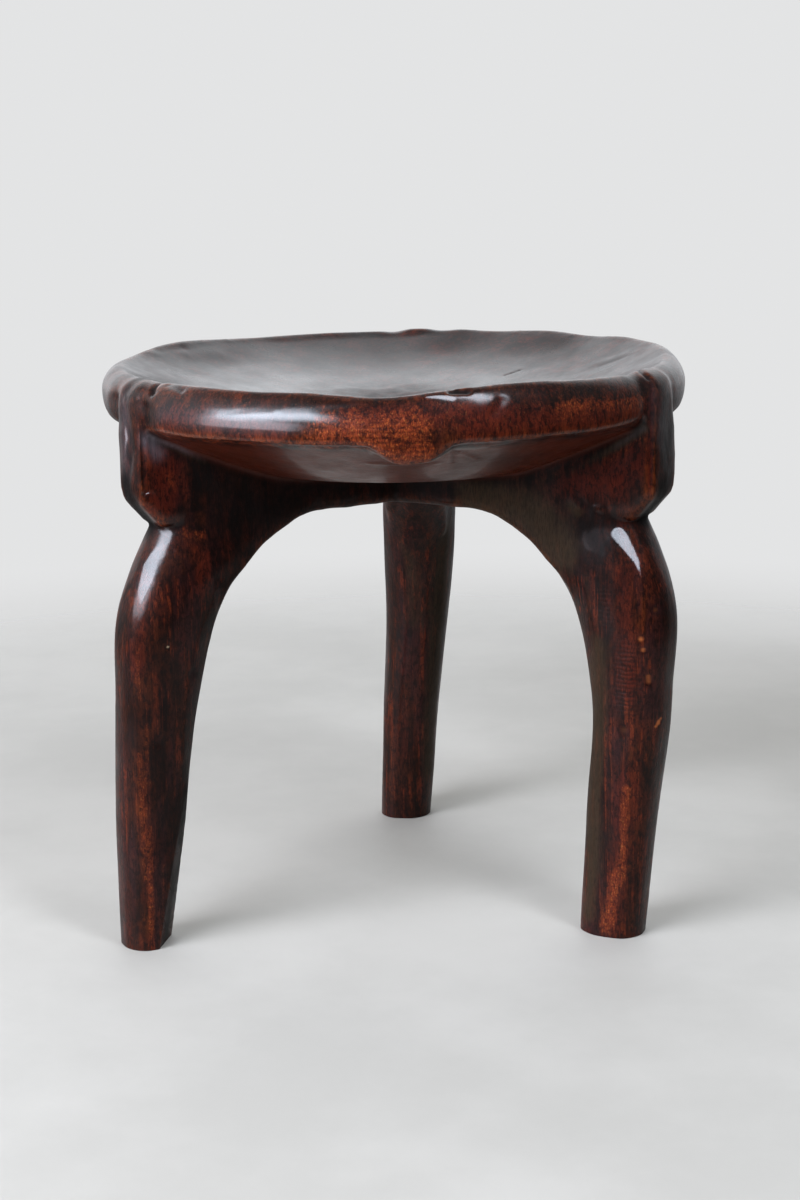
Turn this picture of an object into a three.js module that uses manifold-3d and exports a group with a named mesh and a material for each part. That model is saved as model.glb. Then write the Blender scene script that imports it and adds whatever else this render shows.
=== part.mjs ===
// Three-legged carved wooden stool: a dished round seat on three arms that meet under the bowl,
// each arm ending in a square shoulder, with a notched neck, a swelling knee and a tapering leg.
// Millimetres, +Z up, floor at z = 0, seat axis near the origin.

import * as THREE from 'three';
import { mergeVertices } from 'three/addons/utils/BufferGeometryUtils.js';
import Module from 'manifold-3d';

// Seat
const SEAT_HEIGHT = 308;
const SEAT_RADIUS = 160;
const CREST_INSET = 11;
const DISH_DEPTH = 30;
const RIM_FACE = 24.5;
const RIM_BULGE_DROP = 12;
const RIM_BELLY = 6;
const RIM_UNDERCUT = 5;
const RIM_LIP = 1.5;
const RIM_LIP_ROUNDING = 4;
const CREST_ROUNDING = 6;
const BOWL_DEPTH = 36.5;
const BOWL_CROWN_RADIUS = 53;
const BOWL_FLAT_RADIUS = 86;
const BOWL_FLAT_SAG = 6;
const BOWL_FLANK_RUN = 22;
const DISH_POWER = 2.2;
const SEAT_SIDES = 96;
const DISH_RINGS = 10;

// The crest of the rim isn't level all round: where it swells or sinks, by how much and how far
const CREST_SWELLS = [
  { azimuth: 27, rise: 3, spread: 10 },
  { azimuth: 267, rise: -2.2, spread: 9 },
  { azimuth: 295, rise: 2.5, spread: 14 },
];

// Tongue that hangs from the lower edge of the rim at the front
const TONGUE_AZIMUTH = 273;
const TONGUE_DROP = 8.5;
const TONGUE_SPREAD = 6;
const TONGUE_ROOT = 10;

// Head of each shoulder, which runs up across the rim as a flat lug
const LUG_HALF_WIDTH = 14.5;
const LUG_ROUNDING = 3;
const LUG_ROOT = 34;
const LUG_SINK = 4;

// Arms under the bowl
const ARM_HALF_WIDTH = 19;
const HUB_HALF_WIDTH = 16;
const ARM_TAPER_LENGTH = 55;
const ARM_EDGE = 2.5;
const ARCH_DROP = 77.5;
const ARCH_FLAT_INSET = 120;
const ARCH_CROWN_INSET = 91;
const ARCH_FLARE = 3;
const SHOULDER_DROP = 61;
const SHOULDER_ROUNDING = 8;
const NECK_DROP = 77;
const NECK_NOTCH = 12.5;
const NECK_INNER_INSET = 73;
const NECK_INNER_DROP = 87.5;

// Legs, from the neck down to the floor: depth lies along the radius, width across it
const NECK_WIDTH = 34;
const CROWN_DROP = 95;
const CROWN_DEPTH = 59.5;
const CROWN_WIDTH = 42.5;
const CROWN_TILT = 8;
const KNEE_DROP = 118;
const KNEE_DEPTH = 54;
const KNEE_WIDTH = 43.5;
const KNEE_TILT = 2;
const SHANK_DROP = 172;
const SHANK_DEPTH = 43;
const SHANK_WIDTH = 39.5;
const ANKLE_HEIGHT = 65;
const ANKLE_DEPTH = 37;
const ANKLE_WIDTH = 33.5;
const FOOT_DEPTH = 30;
const FOOT_WIDTH = 30.2;
const SECTION_POWER = 2.35;
const LEG_SIDES = 28;
const LEG_RINGS = 26;

// Width of the seam left between two neighbouring regions of the carving
const SEAM = 0.3;

const WOOD = { color: 0x4a1f14, roughness: 0.32, metalness: 0 };

// The three legs differ as hand-cut ones do. proud: how far the shoulder stands out past the rim;
// lugRise: how far its head rises past the crest; inset: how far the middle of the leg lies inside
// the rim; sway: how far it stands to one side of its arm; deeper: what its depth has on the others.
const LEGS = [
  {
    name: 'rear',
    azimuth: 83.5,
    proud: 0,
    lugRise: 1.5,
    crown: { inset: 34, sway: 0, deeper: -0.5 },
    knee: { inset: 22, sway: 1, deeper: 0 },
    shank: { inset: 16.5, sway: 3.5, deeper: 0.5 },
    ankle: { inset: 18, sway: 9, deeper: 0 },
    foot: { inset: 20.5, sway: 12.5, deeper: 0 },
  },
  {
    name: 'front_left',
    azimuth: 210.5,
    proud: 1,
    lugRise: 0,
    crown: { inset: 34, sway: 0, deeper: 0 },
    knee: { inset: 20.5, sway: 0, deeper: -0.5 },
    shank: { inset: 9.5, sway: -1, deeper: -1 },
    ankle: { inset: 3.5, sway: -2, deeper: -1 },
    foot: { inset: 0, sway: -3, deeper: -1.5 },
  },
  {
    name: 'front_right',
    azimuth: 329.8,
    proud: 3,
    lugRise: 1,
    crown: { inset: 33.5, sway: 0, deeper: 1.5 },
    knee: { inset: 22, sway: 0, deeper: 3 },
    shank: { inset: 15.5, sway: -1, deeper: 1 },
    ankle: { inset: 19.5, sway: -2, deeper: 1.5 },
    foot: { inset: 24, sway: -3, deeper: 5 },
  },
];

const RAD = Math.PI / 180;
const crestRadius = SEAT_RADIUS - CREST_INSET;
const rimBottom = SEAT_HEIGHT - RIM_FACE;
const bowlBottom = rimBottom - BOWL_DEPTH;
const bowlEdgeRadius = SEAT_RADIUS - RIM_UNDERCUT;
const archTop = SEAT_HEIGHT - ARCH_DROP;
const neckInner = new THREE.Vector2(SEAT_RADIUS - NECK_INNER_INSET, SEAT_HEIGHT - NECK_INNER_DROP);

const wasm = await Module();
wasm.setup();

// Closed triangle mesh with shared corners, ready to be joined or cut.
function solidOf(geometry) {
  const bare = geometry.clone();
  bare.deleteAttribute('normal');
  bare.deleteAttribute('uv');
  const merged = mergeVertices(bare, 1e-4);
  const index = merged.index.array;
  const kept = [];
  for (let i = 0; i < index.length; i += 3) {
    const [a, b, c] = [index[i], index[i + 1], index[i + 2]];
    if (a !== b && b !== c && c !== a) {
      kept.push(a, b, c);
    }
  }
  return new wasm.Manifold(new wasm.Mesh({
    numProp: 3,
    vertProperties: new Float32Array(merged.attributes.position.array),
    triVerts: new Uint32Array(kept),
  }));
}

function geometryOf(solid) {
  const mesh = solid.getMesh();
  const geometry = new THREE.BufferGeometry();
  geometry.setAttribute('position', new THREE.BufferAttribute(new Float32Array(mesh.vertProperties), 3));
  geometry.setIndex(new THREE.BufferAttribute(new Uint32Array(mesh.triVerts), 1));
  const facets = geometry.toNonIndexed();
  facets.computeVertexNormals();
  return facets;
}

// Moves every corner of a geometry to the place that the given function returns for it.
function reshape(geometry, placeOf) {
  const position = geometry.attributes.position;
  const corner = new THREE.Vector3();
  for (let i = 0; i < position.count; i += 1) {
    corner.fromBufferAttribute(position, i);
    const place = placeOf(corner);
    position.setXYZ(i, place.x, place.y, place.z);
  }
  return geometry;
}

// Height of the sitting surface at a distance from the seat axis.
function dishHeight(radius) {
  const share = Math.min(radius / crestRadius, 1);
  return SEAT_HEIGHT - DISH_DEPTH * (1 - share ** DISH_POWER);
}

// Underside of the bowl from the axis out to the rim: a shallow crown, then a steeper cone.
function bowlOutline() {
  const knuckle = new THREE.Vector2(BOWL_FLAT_RADIUS, bowlBottom + BOWL_FLAT_SAG);
  const edge = new THREE.Vector2(bowlEdgeRadius, rimBottom - RIM_LIP);
  const crown = new THREE.QuadraticBezierCurve(
    new THREE.Vector2(0, bowlBottom),
    new THREE.Vector2(BOWL_CROWN_RADIUS, bowlBottom),
    knuckle,
  );
  const flank = new THREE.QuadraticBezierCurve(
    knuckle,
    new THREE.Vector2(knuckle.x + BOWL_FLANK_RUN, knuckle.y + BOWL_FLAT_SAG),
    edge,
  );
  return [...crown.getPoints(5), ...flank.getPoints(7).slice(1)];
}

// Outer face of the rim, a soft bullnose from its lower edge up to the crest.
function rimOutline() {
  const bulge = new THREE.Vector2(SEAT_RADIUS, SEAT_HEIGHT - RIM_BULGE_DROP);
  const lower = new THREE.CubicBezierCurve(
    new THREE.Vector2(bowlEdgeRadius, rimBottom - RIM_LIP),
    new THREE.Vector2(bowlEdgeRadius + RIM_LIP_ROUNDING, rimBottom - RIM_LIP + RIM_LIP_ROUNDING / 2),
    new THREE.Vector2(SEAT_RADIUS, bulge.y - RIM_BELLY),
    bulge,
  );
  const upper = new THREE.CubicBezierCurve(
    bulge,
    new THREE.Vector2(SEAT_RADIUS, bulge.y + CREST_ROUNDING),
    new THREE.Vector2(crestRadius + CREST_ROUNDING, SEAT_HEIGHT),
    new THREE.Vector2(crestRadius, SEAT_HEIGHT),
  );
  return [...lower.getPoints(5).slice(1), ...upper.getPoints(6).slice(1)];
}

// Sitting surface from the crest in to the axis, with its rings closer together near the crest.
function dishOutline() {
  const outline = [];
  for (let ring = DISH_RINGS - 1; ring >= 0; ring -= 1) {
    const radius = crestRadius * Math.sin((ring / DISH_RINGS) * (Math.PI / 2));
    outline.push(new THREE.Vector2(radius, dishHeight(radius)));
  }
  return outline;
}

function azimuthOf(corner) {
  return (Math.atan2(corner.y, corner.x) / RAD + 360) % 360;
}

// The tongue: the lower edge of the rim dips over a few degrees at the front.
function tongueDrop(corner) {
  const radius = Math.hypot(corner.x, corner.y);
  const across = Math.exp(-(((azimuthOf(corner) - TONGUE_AZIMUTH) / TONGUE_SPREAD) ** 4));
  const outward = THREE.MathUtils.smoothstep(radius, bowlEdgeRadius - TONGUE_ROOT, bowlEdgeRadius);
  const downward = 1 - THREE.MathUtils.smoothstep(corner.z, rimBottom, SEAT_HEIGHT - RIM_BULGE_DROP);
  return TONGUE_DROP * across * outward * downward;
}

// The hand-cut crest: it swells and sinks a little round the seat.
function crestRise(corner) {
  const near = THREE.MathUtils.smoothstep(corner.z, SEAT_HEIGHT - RIM_BULGE_DROP, SEAT_HEIGHT);
  const azimuth = azimuthOf(corner);
  const rise = (swell) => swell.rise * Math.exp(-(((azimuth - swell.azimuth) / swell.spread) ** 2));
  return near * CREST_SWELLS.reduce((sum, swell) => sum + rise(swell), 0);
}

function seatBody() {
  const outline = [...bowlOutline(), ...rimOutline(), ...dishOutline()];
  const body = new THREE.LatheGeometry(outline, SEAT_SIDES);
  body.rotateX(Math.PI / 2);
  const handCut = (corner) => corner.setZ(corner.z + crestRise(corner) - tongueDrop(corner));
  return solidOf(reshape(body, handCut));
}

// Turns a profile drawn as (reach, height) into a slab that stands in the plane of a leg.
// widthAt gives the half width of the slab at each reach.
function slab(profile, widthAt, rounding) {
  const depth = 2;
  const bevel = 0.5;
  const geometry = new THREE.ExtrudeGeometry(profile, {
    depth,
    steps: 1,
    curveSegments: 10,
    bevelEnabled: true,
    bevelThickness: bevel,
    bevelSize: rounding,
    bevelOffset: -rounding,
    bevelSegments: 2,
  });
  return reshape(geometry, (corner) => {
    const offset = corner.z - depth / 2;
    const inBevel = Math.max(Math.abs(offset) - depth / 2, 0) / bevel;
    const half = widthAt(corner.x) - rounding * (1 - inBevel);
    return new THREE.Vector3(corner.x, -Math.sign(offset) * half, corner.y);
  });
}

function shoulderReach(leg) {
  return SEAT_RADIUS + leg.proud;
}

// Half width of an arm, which narrows from the knee out to the face of the shoulder.
function armHalfWidth(reach, leg) {
  const taperStart = shoulderReach(leg) - ARM_TAPER_LENGTH;
  const inward = THREE.MathUtils.smoothstep(reach, 0, taperStart);
  const outward = THREE.MathUtils.smoothstep(reach, taperStart, shoulderReach(leg));
  const grown = THREE.MathUtils.lerp(HUB_HALF_WIDTH, ARM_HALF_WIDTH, inward);
  return THREE.MathUtils.lerp(grown, LUG_HALF_WIDTH, outward);
}

function lugProfile(leg) {
  const reach = shoulderReach(leg);
  const top = SEAT_HEIGHT + leg.lugRise;
  const profile = new THREE.Shape();
  profile.moveTo(reach - LUG_ROOT, rimBottom);
  profile.lineTo(reach, rimBottom);
  profile.lineTo(reach, SEAT_HEIGHT - RIM_BULGE_DROP);
  profile.quadraticCurveTo(reach, top, crestRadius, top);
  profile.lineTo(reach - LUG_ROOT, dishHeight(reach - LUG_ROOT) - LUG_SINK);
  profile.closePath();
  return profile;
}

function neckOuter(leg) {
  return new THREE.Vector2(shoulderReach(leg) - NECK_NOTCH, SEAT_HEIGHT - NECK_DROP);
}

// Side view of an arm: flat underside, arch, slanted cut at the neck, notch, shoulder face.
function armProfile(leg) {
  const outer = neckOuter(leg);
  const reach = shoulderReach(leg);
  const foot = SEAT_HEIGHT - SHOULDER_DROP;
  const top = rimBottom - SEAM;
  const back = -ARM_HALF_WIDTH * 2;
  const flare = outer.clone().sub(neckInner).setLength(ARCH_FLARE).add(neckInner);
  const profile = new THREE.Shape();
  profile.moveTo(back, archTop);
  profile.lineTo(SEAT_RADIUS - ARCH_FLAT_INSET, archTop);
  profile.quadraticCurveTo(SEAT_RADIUS - ARCH_CROWN_INSET, archTop, flare.x, flare.y);
  profile.lineTo(outer.x, outer.y);
  profile.lineTo(reach - SHOULDER_ROUNDING / 4, foot - SHOULDER_ROUNDING / 2);
  profile.quadraticCurveTo(reach, foot, reach, foot + SHOULDER_ROUNDING);
  profile.lineTo(reach, top);
  profile.lineTo(reach - LUG_ROOT, top);
  profile.lineTo(BOWL_FLAT_RADIUS, (dishHeight(BOWL_FLAT_RADIUS) + bowlBottom + BOWL_FLAT_SAG) / 2);
  profile.lineTo(back, (dishHeight(0) + bowlBottom) / 2);
  profile.closePath();
  return profile;
}

// Upright wedge of space that belongs to one arm, between the mitres with its two neighbours.
function armSector(index) {
  const own = LEGS[index].azimuth;
  const next = LEGS[(index + 1) % LEGS.length].azimuth;
  const previous = LEGS[(index + LEGS.length - 1) % LEGS.length].azimuth;
  const ahead = (((next - own) % 360) + 360) % 360 / 2;
  const behind = (((own - previous) % 360) + 360) % 360 / 2;
  const far = SEAT_RADIUS * 2;
  const apex = new THREE.Vector2(SEAM / 2 / Math.sin(((ahead + behind) / 2) * RAD), 0);
  const wedge = new THREE.Shape();
  wedge.moveTo(apex.x, apex.y);
  wedge.lineTo(apex.x + far * Math.cos(behind * RAD), -far * Math.sin(behind * RAD));
  wedge.lineTo(far * 2, -far);
  wedge.lineTo(far * 2, far);
  wedge.lineTo(apex.x + far * Math.cos(ahead * RAD), far * Math.sin(ahead * RAD));
  wedge.closePath();
  const geometry = new THREE.ExtrudeGeometry(wedge, { depth: SEAT_HEIGHT, bevelEnabled: false });
  return geometry.rotateZ(own * RAD);
}

// Sections of a leg from the floor up, each given by its middle, its size and its tilt.
function legStations(leg) {
  const outer = neckOuter(leg);
  const across = outer.clone().sub(neckInner);
  const neckMiddle = neckInner.clone().add(outer).multiplyScalar(0.5);
  const neckTilt = Math.atan2(across.y, across.x);
  const station = (part, height, depth, width, tilt) => ({
    middle: new THREE.Vector3(SEAT_RADIUS - part.inset, part.sway, height),
    size: new THREE.Vector3((depth + part.deeper) / 2, width / 2, tilt * RAD),
  });
  return [
    station(leg.foot, 0, FOOT_DEPTH, FOOT_WIDTH, 0),
    station(leg.ankle, ANKLE_HEIGHT, ANKLE_DEPTH, ANKLE_WIDTH, 0),
    station(leg.shank, SEAT_HEIGHT - SHANK_DROP, SHANK_DEPTH, SHANK_WIDTH, 0),
    station(leg.knee, SEAT_HEIGHT - KNEE_DROP, KNEE_DEPTH, KNEE_WIDTH, KNEE_TILT),
    station(leg.crown, SEAT_HEIGHT - CROWN_DROP, CROWN_DEPTH, CROWN_WIDTH, CROWN_TILT),
    {
      middle: new THREE.Vector3(neckMiddle.x, 0, neckMiddle.y),
      size: new THREE.Vector3(across.length() / 2, NECK_WIDTH / 2, neckTilt),
    },
  ];
}

function squircle(angle) {
  const round = (value) => Math.sign(value) * Math.abs(value) ** (2 / SECTION_POWER);
  return [round(Math.cos(angle)), round(Math.sin(angle))];
}

// Leg as a loft: rounded sections that follow two curves, one for place and one for size.
function legBody(leg) {
  const stations = legStations(leg);
  const middles = new THREE.CatmullRomCurve3(stations.map((station) => station.middle));
  const sizes = new THREE.CatmullRomCurve3(stations.map((station) => station.size));
  const neck = stations[stations.length - 1];
  const drop = new THREE.Vector3(Math.sin(neck.size.z), 0, -Math.cos(neck.size.z)).multiplyScalar(SEAM);
  const column = new THREE.CylinderGeometry(1, 1, 1, LEG_SIDES, LEG_RINGS);
  return reshape(column, (corner) => {
    const rise = corner.y + 0.5;
    const angle = Math.atan2(-corner.z, corner.x);
    const spread = Math.hypot(corner.x, corner.z);
    const middle = middles.getPoint(rise);
    const size = sizes.getPoint(rise);
    const [along, across] = squircle(angle);
    const tilt = rise > 0 ? size.z : 0;
    const out = size.x * along * spread;
    return new THREE.Vector3(
      middle.x + out * Math.cos(tilt),
      middle.y + size.y * across * spread,
      middle.z + out * Math.sin(tilt),
    ).addScaledVector(drop, rise);
  });
}

function meshOf(name, geometry) {
  const mesh = new THREE.Mesh(geometry, new THREE.MeshStandardMaterial(WOOD));
  mesh.name = name;
  return mesh;
}

const stool = new THREE.Group();
let seat = seatBody();
for (const leg of LEGS) {
  const lug = slab(lugProfile(leg), () => LUG_HALF_WIDTH, LUG_ROUNDING).rotateZ(leg.azimuth * RAD);
  seat = seat.add(solidOf(lug));
}
stool.add(meshOf('seat', geometryOf(seat)));

const loweredSeat = seat.translate([0, 0, -SEAM]);
LEGS.forEach((leg, index) => {
  const profile = slab(armProfile(leg), (reach) => armHalfWidth(reach, leg), ARM_EDGE);
  const blank = solidOf(profile.rotateZ(leg.azimuth * RAD));
  const arm = blank.intersect(solidOf(armSector(index))).subtract(loweredSeat);
  stool.add(meshOf(`${leg.name}_arm`, geometryOf(arm)));
  const shank = legBody(leg).rotateZ(leg.azimuth * RAD);
  stool.add(meshOf(`${leg.name}_leg`, geometryOf(solidOf(shank))));
});

// The origin lies on the floor under the middle of the stool's outline.
stool.updateMatrixWorld(true);
const outlineBox = new THREE.Box3().setFromObject(stool);
const centre = outlineBox.getCenter(new THREE.Vector3());
stool.position.set(-centre.x, -centre.y, -outlineBox.min.z);

export default stool;
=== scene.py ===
"""Looks of a three-legged stool, carved from one block of dark polished wood.

The seat, the arms and the legs are roughed out as blanks and fused into one block. The block is
then cut and worn as the real one is, and parted along the lines of the solid model, so that each
region stands for one of its nodes. Sizes are in millimetres until a piece is finished. The floor
is z = 0, -Y is the front, and +X is to the right seen from the front.
"""

import logging
import math
from dataclasses import dataclass, field
from enum import Enum
from functools import partial
from typing import Any, Callable, Dict, Optional, Sequence, Tuple, Union

import bmesh
import bpy
import numpy as np
from mathutils import Matrix, Quaternion, Vector
from mathutils.bvhtree import BVHTree
from mathutils.geometry import interpolate_bezier
from mathutils.kdtree import KDTree


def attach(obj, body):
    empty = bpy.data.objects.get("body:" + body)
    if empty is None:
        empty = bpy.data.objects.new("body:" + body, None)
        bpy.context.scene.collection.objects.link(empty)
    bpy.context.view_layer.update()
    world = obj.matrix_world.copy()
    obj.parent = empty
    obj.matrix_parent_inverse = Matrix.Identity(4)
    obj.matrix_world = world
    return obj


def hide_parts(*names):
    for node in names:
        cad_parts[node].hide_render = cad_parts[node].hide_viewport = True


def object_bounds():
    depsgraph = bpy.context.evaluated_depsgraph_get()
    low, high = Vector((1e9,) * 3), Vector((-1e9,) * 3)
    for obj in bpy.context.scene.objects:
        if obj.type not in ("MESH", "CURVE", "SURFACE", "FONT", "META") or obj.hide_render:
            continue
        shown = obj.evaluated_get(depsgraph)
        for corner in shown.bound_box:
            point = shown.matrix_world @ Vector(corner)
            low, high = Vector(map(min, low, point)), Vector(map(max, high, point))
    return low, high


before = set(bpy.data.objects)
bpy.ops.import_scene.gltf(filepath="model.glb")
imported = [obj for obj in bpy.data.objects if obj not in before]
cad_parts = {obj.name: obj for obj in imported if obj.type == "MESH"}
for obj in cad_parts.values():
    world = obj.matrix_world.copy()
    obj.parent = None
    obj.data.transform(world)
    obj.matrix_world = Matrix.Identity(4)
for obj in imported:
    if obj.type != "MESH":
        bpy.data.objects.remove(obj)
CAD_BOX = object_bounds()

LOG = logging.getLogger("stool")
WOOD_SLOT = "dark_polished_wood"
MM = 0.001
SEAT_AXIS = np.array([0.0, -2.87, 0.0])
MERGED = 1e-3  # points closer than this are one
TINY = 1e-12  # keeps a length or an area from being nothing
HAIR = 0.01  # outward step that keeps an upright edge of an outline in order
BELOW_ALL = -1e6  # a height that nothing reaches
KEPT_FACETS = 0.7  # share of the block's facets that stay when it is thinned
NEAREST = 3  # how many points of the full block shade a point of the thinned one
NEAREST_SPREAD = 0.05  # distance that evens out how much each of them counts
SAME_WAY = 0.8  # a cut face within this cosine of the block's skin is shaded as skin
UNTOUCHED = 0.01  # share of a rubbing up to which a point is left out
RUB = 0.6  # how far rubbing draws a point to its neighbours in one round
SMOOTHING = (0.5, -0.53)  # how far smoothing draws it, and then pushes it back
HILLS = 4096  # how many random heights there are, a power of two
MIXERS = np.array([73856093, 19349663, 83492791])  # primes that mix a cell's numbers into one

Pair = Tuple[float, float]
Triple = Tuple[float, float, float]
Path = Tuple[Triple, ...]


class Limb(Enum):
    """The three arms and legs, by where they stand."""

    REAR = "rear"
    FRONT_LEFT = "front_left"
    FRONT_RIGHT = "front_right"


class Paint(Enum):
    """What a mark does to the colour of the wood."""

    WARM = "warm"
    RED = "red"
    OLIVE = "olive"
    # near black: darkens nicks and cracks, and paints shade on the hub, under the arms, in creases and on
    # downward faces
    SOOT_AND_SHADE = "soot_and_shade"
    # pale chips and scratches, one of them painted as a highlight
    PALE = "pale"
    CHATTER = "chatter"
    BARE = "bare"
    # pale mauve painted sheen: a painted reflection along creases, on the left shoulder, the lugs' ends and
    # the front rim
    BLOOM = "painted_sheen"
    SHINE = "shine"


def bend(start: Pair, first: Pair, second: Pair, end: Pair, steps: int) -> np.ndarray:
    """Points along a Bezier curve."""
    return np.array([tuple(p) for p in interpolate_bezier(start, first, second, end, steps)])


def bow(start: Pair, corner: Pair, end: Pair, steps: int) -> np.ndarray:
    """Points along a curve that leaves and arrives on the lines to one corner."""
    a, b, c = (np.array(p, float) for p in (start, corner, end))
    return bend(tuple(a), tuple(a + (b - a) * 2 / 3), tuple(c + (b - c) * 2 / 3), tuple(c), steps)


def ease(value: np.ndarray, low: float, high: float) -> np.ndarray:
    """Goes softly from 0 to 1 as a value goes from low to high."""
    share = np.clip((np.asarray(value, float) - low) / (high - low), 0.0, 1.0)
    return share * share * (3.0 - 2.0 * share)


def compass(azimuth: float) -> Pair:
    """Cosine and sine of an azimuth in degrees."""
    return math.cos(math.radians(azimuth)), math.sin(math.radians(azimuth))


def round_by_turn(points: np.ndarray) -> Tuple[np.ndarray, np.ndarray]:
    """Azimuth in degrees and distance from the seat axis of each point."""
    rel = points - SEAT_AXIS
    return np.degrees(np.arctan2(rel[:, 1], rel[:, 0])) % 360.0, np.hypot(rel[:, 0], rel[:, 1])


def read(items: Any, name: str, width: int = 1, kind: type = np.float32) -> np.ndarray:
    """Reads one field of many mesh items at once.

    Args:
        items: The points, edges, faces or corners.
        name: The field's name.
        width: How many numbers the field has.
        kind: The type of these numbers.

    Returns:
        One number, or one row of numbers, for each item.
    """
    values = np.empty(len(items) * width, kind)
    items.foreach_get(name, values)
    return values.reshape(-1, width) if width > 1 else values


def sorted_for_search(points: Sequence[Sequence[float]]) -> KDTree:
    """Sorts points so that the ones near a spot are found quickly.

    Args:
        points: The points, which are numbered in their order.

    Returns:
        The sorted points.
    """
    tree = KDTree(len(points))
    for number, point in enumerate(points):
        tree.insert(point, number)
    tree.balance()
    return tree


def turned(outline: Sequence[Sequence[float]], steps: int) -> bmesh.types.BMesh:
    """Turns an outline once round the seat axis.

    Args:
        outline: Rows of radius and height, the first and the last on the axis.
        steps: How many steps the form has around.

    Returns:
        The closed form.
    """
    form = bmesh.new()
    verts = [form.verts.new((x, SEAT_AXIS[1], z)) for x, z in outline]
    edges = [form.edges.new(pair) for pair in zip(verts, verts[1:])]
    bmesh.ops.spin(
        form,
        geom=verts + edges,
        cent=SEAT_AXIS.tolist(),
        axis=(0.0, 0.0, 1.0),
        angle=2.0 * math.pi,
        steps=steps,
        use_merge=True,
    )
    bmesh.ops.remove_doubles(form, verts=form.verts[:], dist=MERGED)
    bmesh.ops.recalc_face_normals(form, faces=form.faces[:])
    return form


def tube(rings: int, sides: int, place: Callable[[float, float], Sequence[float]]) -> bmesh.types.BMesh:
    """Wraps a flat grid round into a closed tube.

    Args:
        rings: How many steps the tube has along its length.
        sides: How many steps it has around.
        place: Gives a point from the angle around and the share of the length.

    Returns:
        The closed tube.
    """
    form = bmesh.new()
    bmesh.ops.create_grid(form, x_segments=sides, y_segments=rings, size=1.0)
    for vert in form.verts:
        turn = (vert.co.x + 1.0) / 2.0 % 1.0
        vert.co = place(turn * 2.0 * math.pi, (vert.co.y + 1.0) / 2.0)
    bmesh.ops.remove_doubles(form, verts=form.verts[:], dist=MERGED)
    bmesh.ops.holes_fill(form, edges=form.edges[:], sides=0)
    bmesh.ops.recalc_face_normals(form, faces=form.faces[:])
    return form


class Noise:
    """Smooth random hills and hollows in space, the same at every run."""

    def __init__(self, seed: int) -> None:
        """Draws the heights that the hills have."""
        self._heights = np.random.default_rng(seed).uniform(-1.0, 1.0, HILLS)

    def at(self, points: np.ndarray, size: Triple) -> np.ndarray:
        """Height of the hills at each point.

        Args:
            points: Where the height is wanted.
            size: Size of one hill along each axis.

        Returns:
            A height from -1 to 1 for each point.
        """
        scaled = points / np.asarray(size)
        cell = np.floor(scaled).astype(np.int64)
        part = scaled - cell
        part = part * part * (3.0 - 2.0 * part)
        total = np.zeros(len(points))
        for corner in range(8):
            step = np.array([(corner >> axis) & 1 for axis in range(3)])
            key = (cell + step) @ MIXERS
            weight = np.prod(np.where(step == 1, part, 1.0 - part), axis=1)
            total += weight * self._heights[(key ^ (key >> 9)) & (HILLS - 1)]
        return total


@dataclass(frozen=True)
class Swell:
    """A stretch of the rim's crest that stands higher or lower than the rest."""

    azimuth: float
    rise: float
    spread: float


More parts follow.
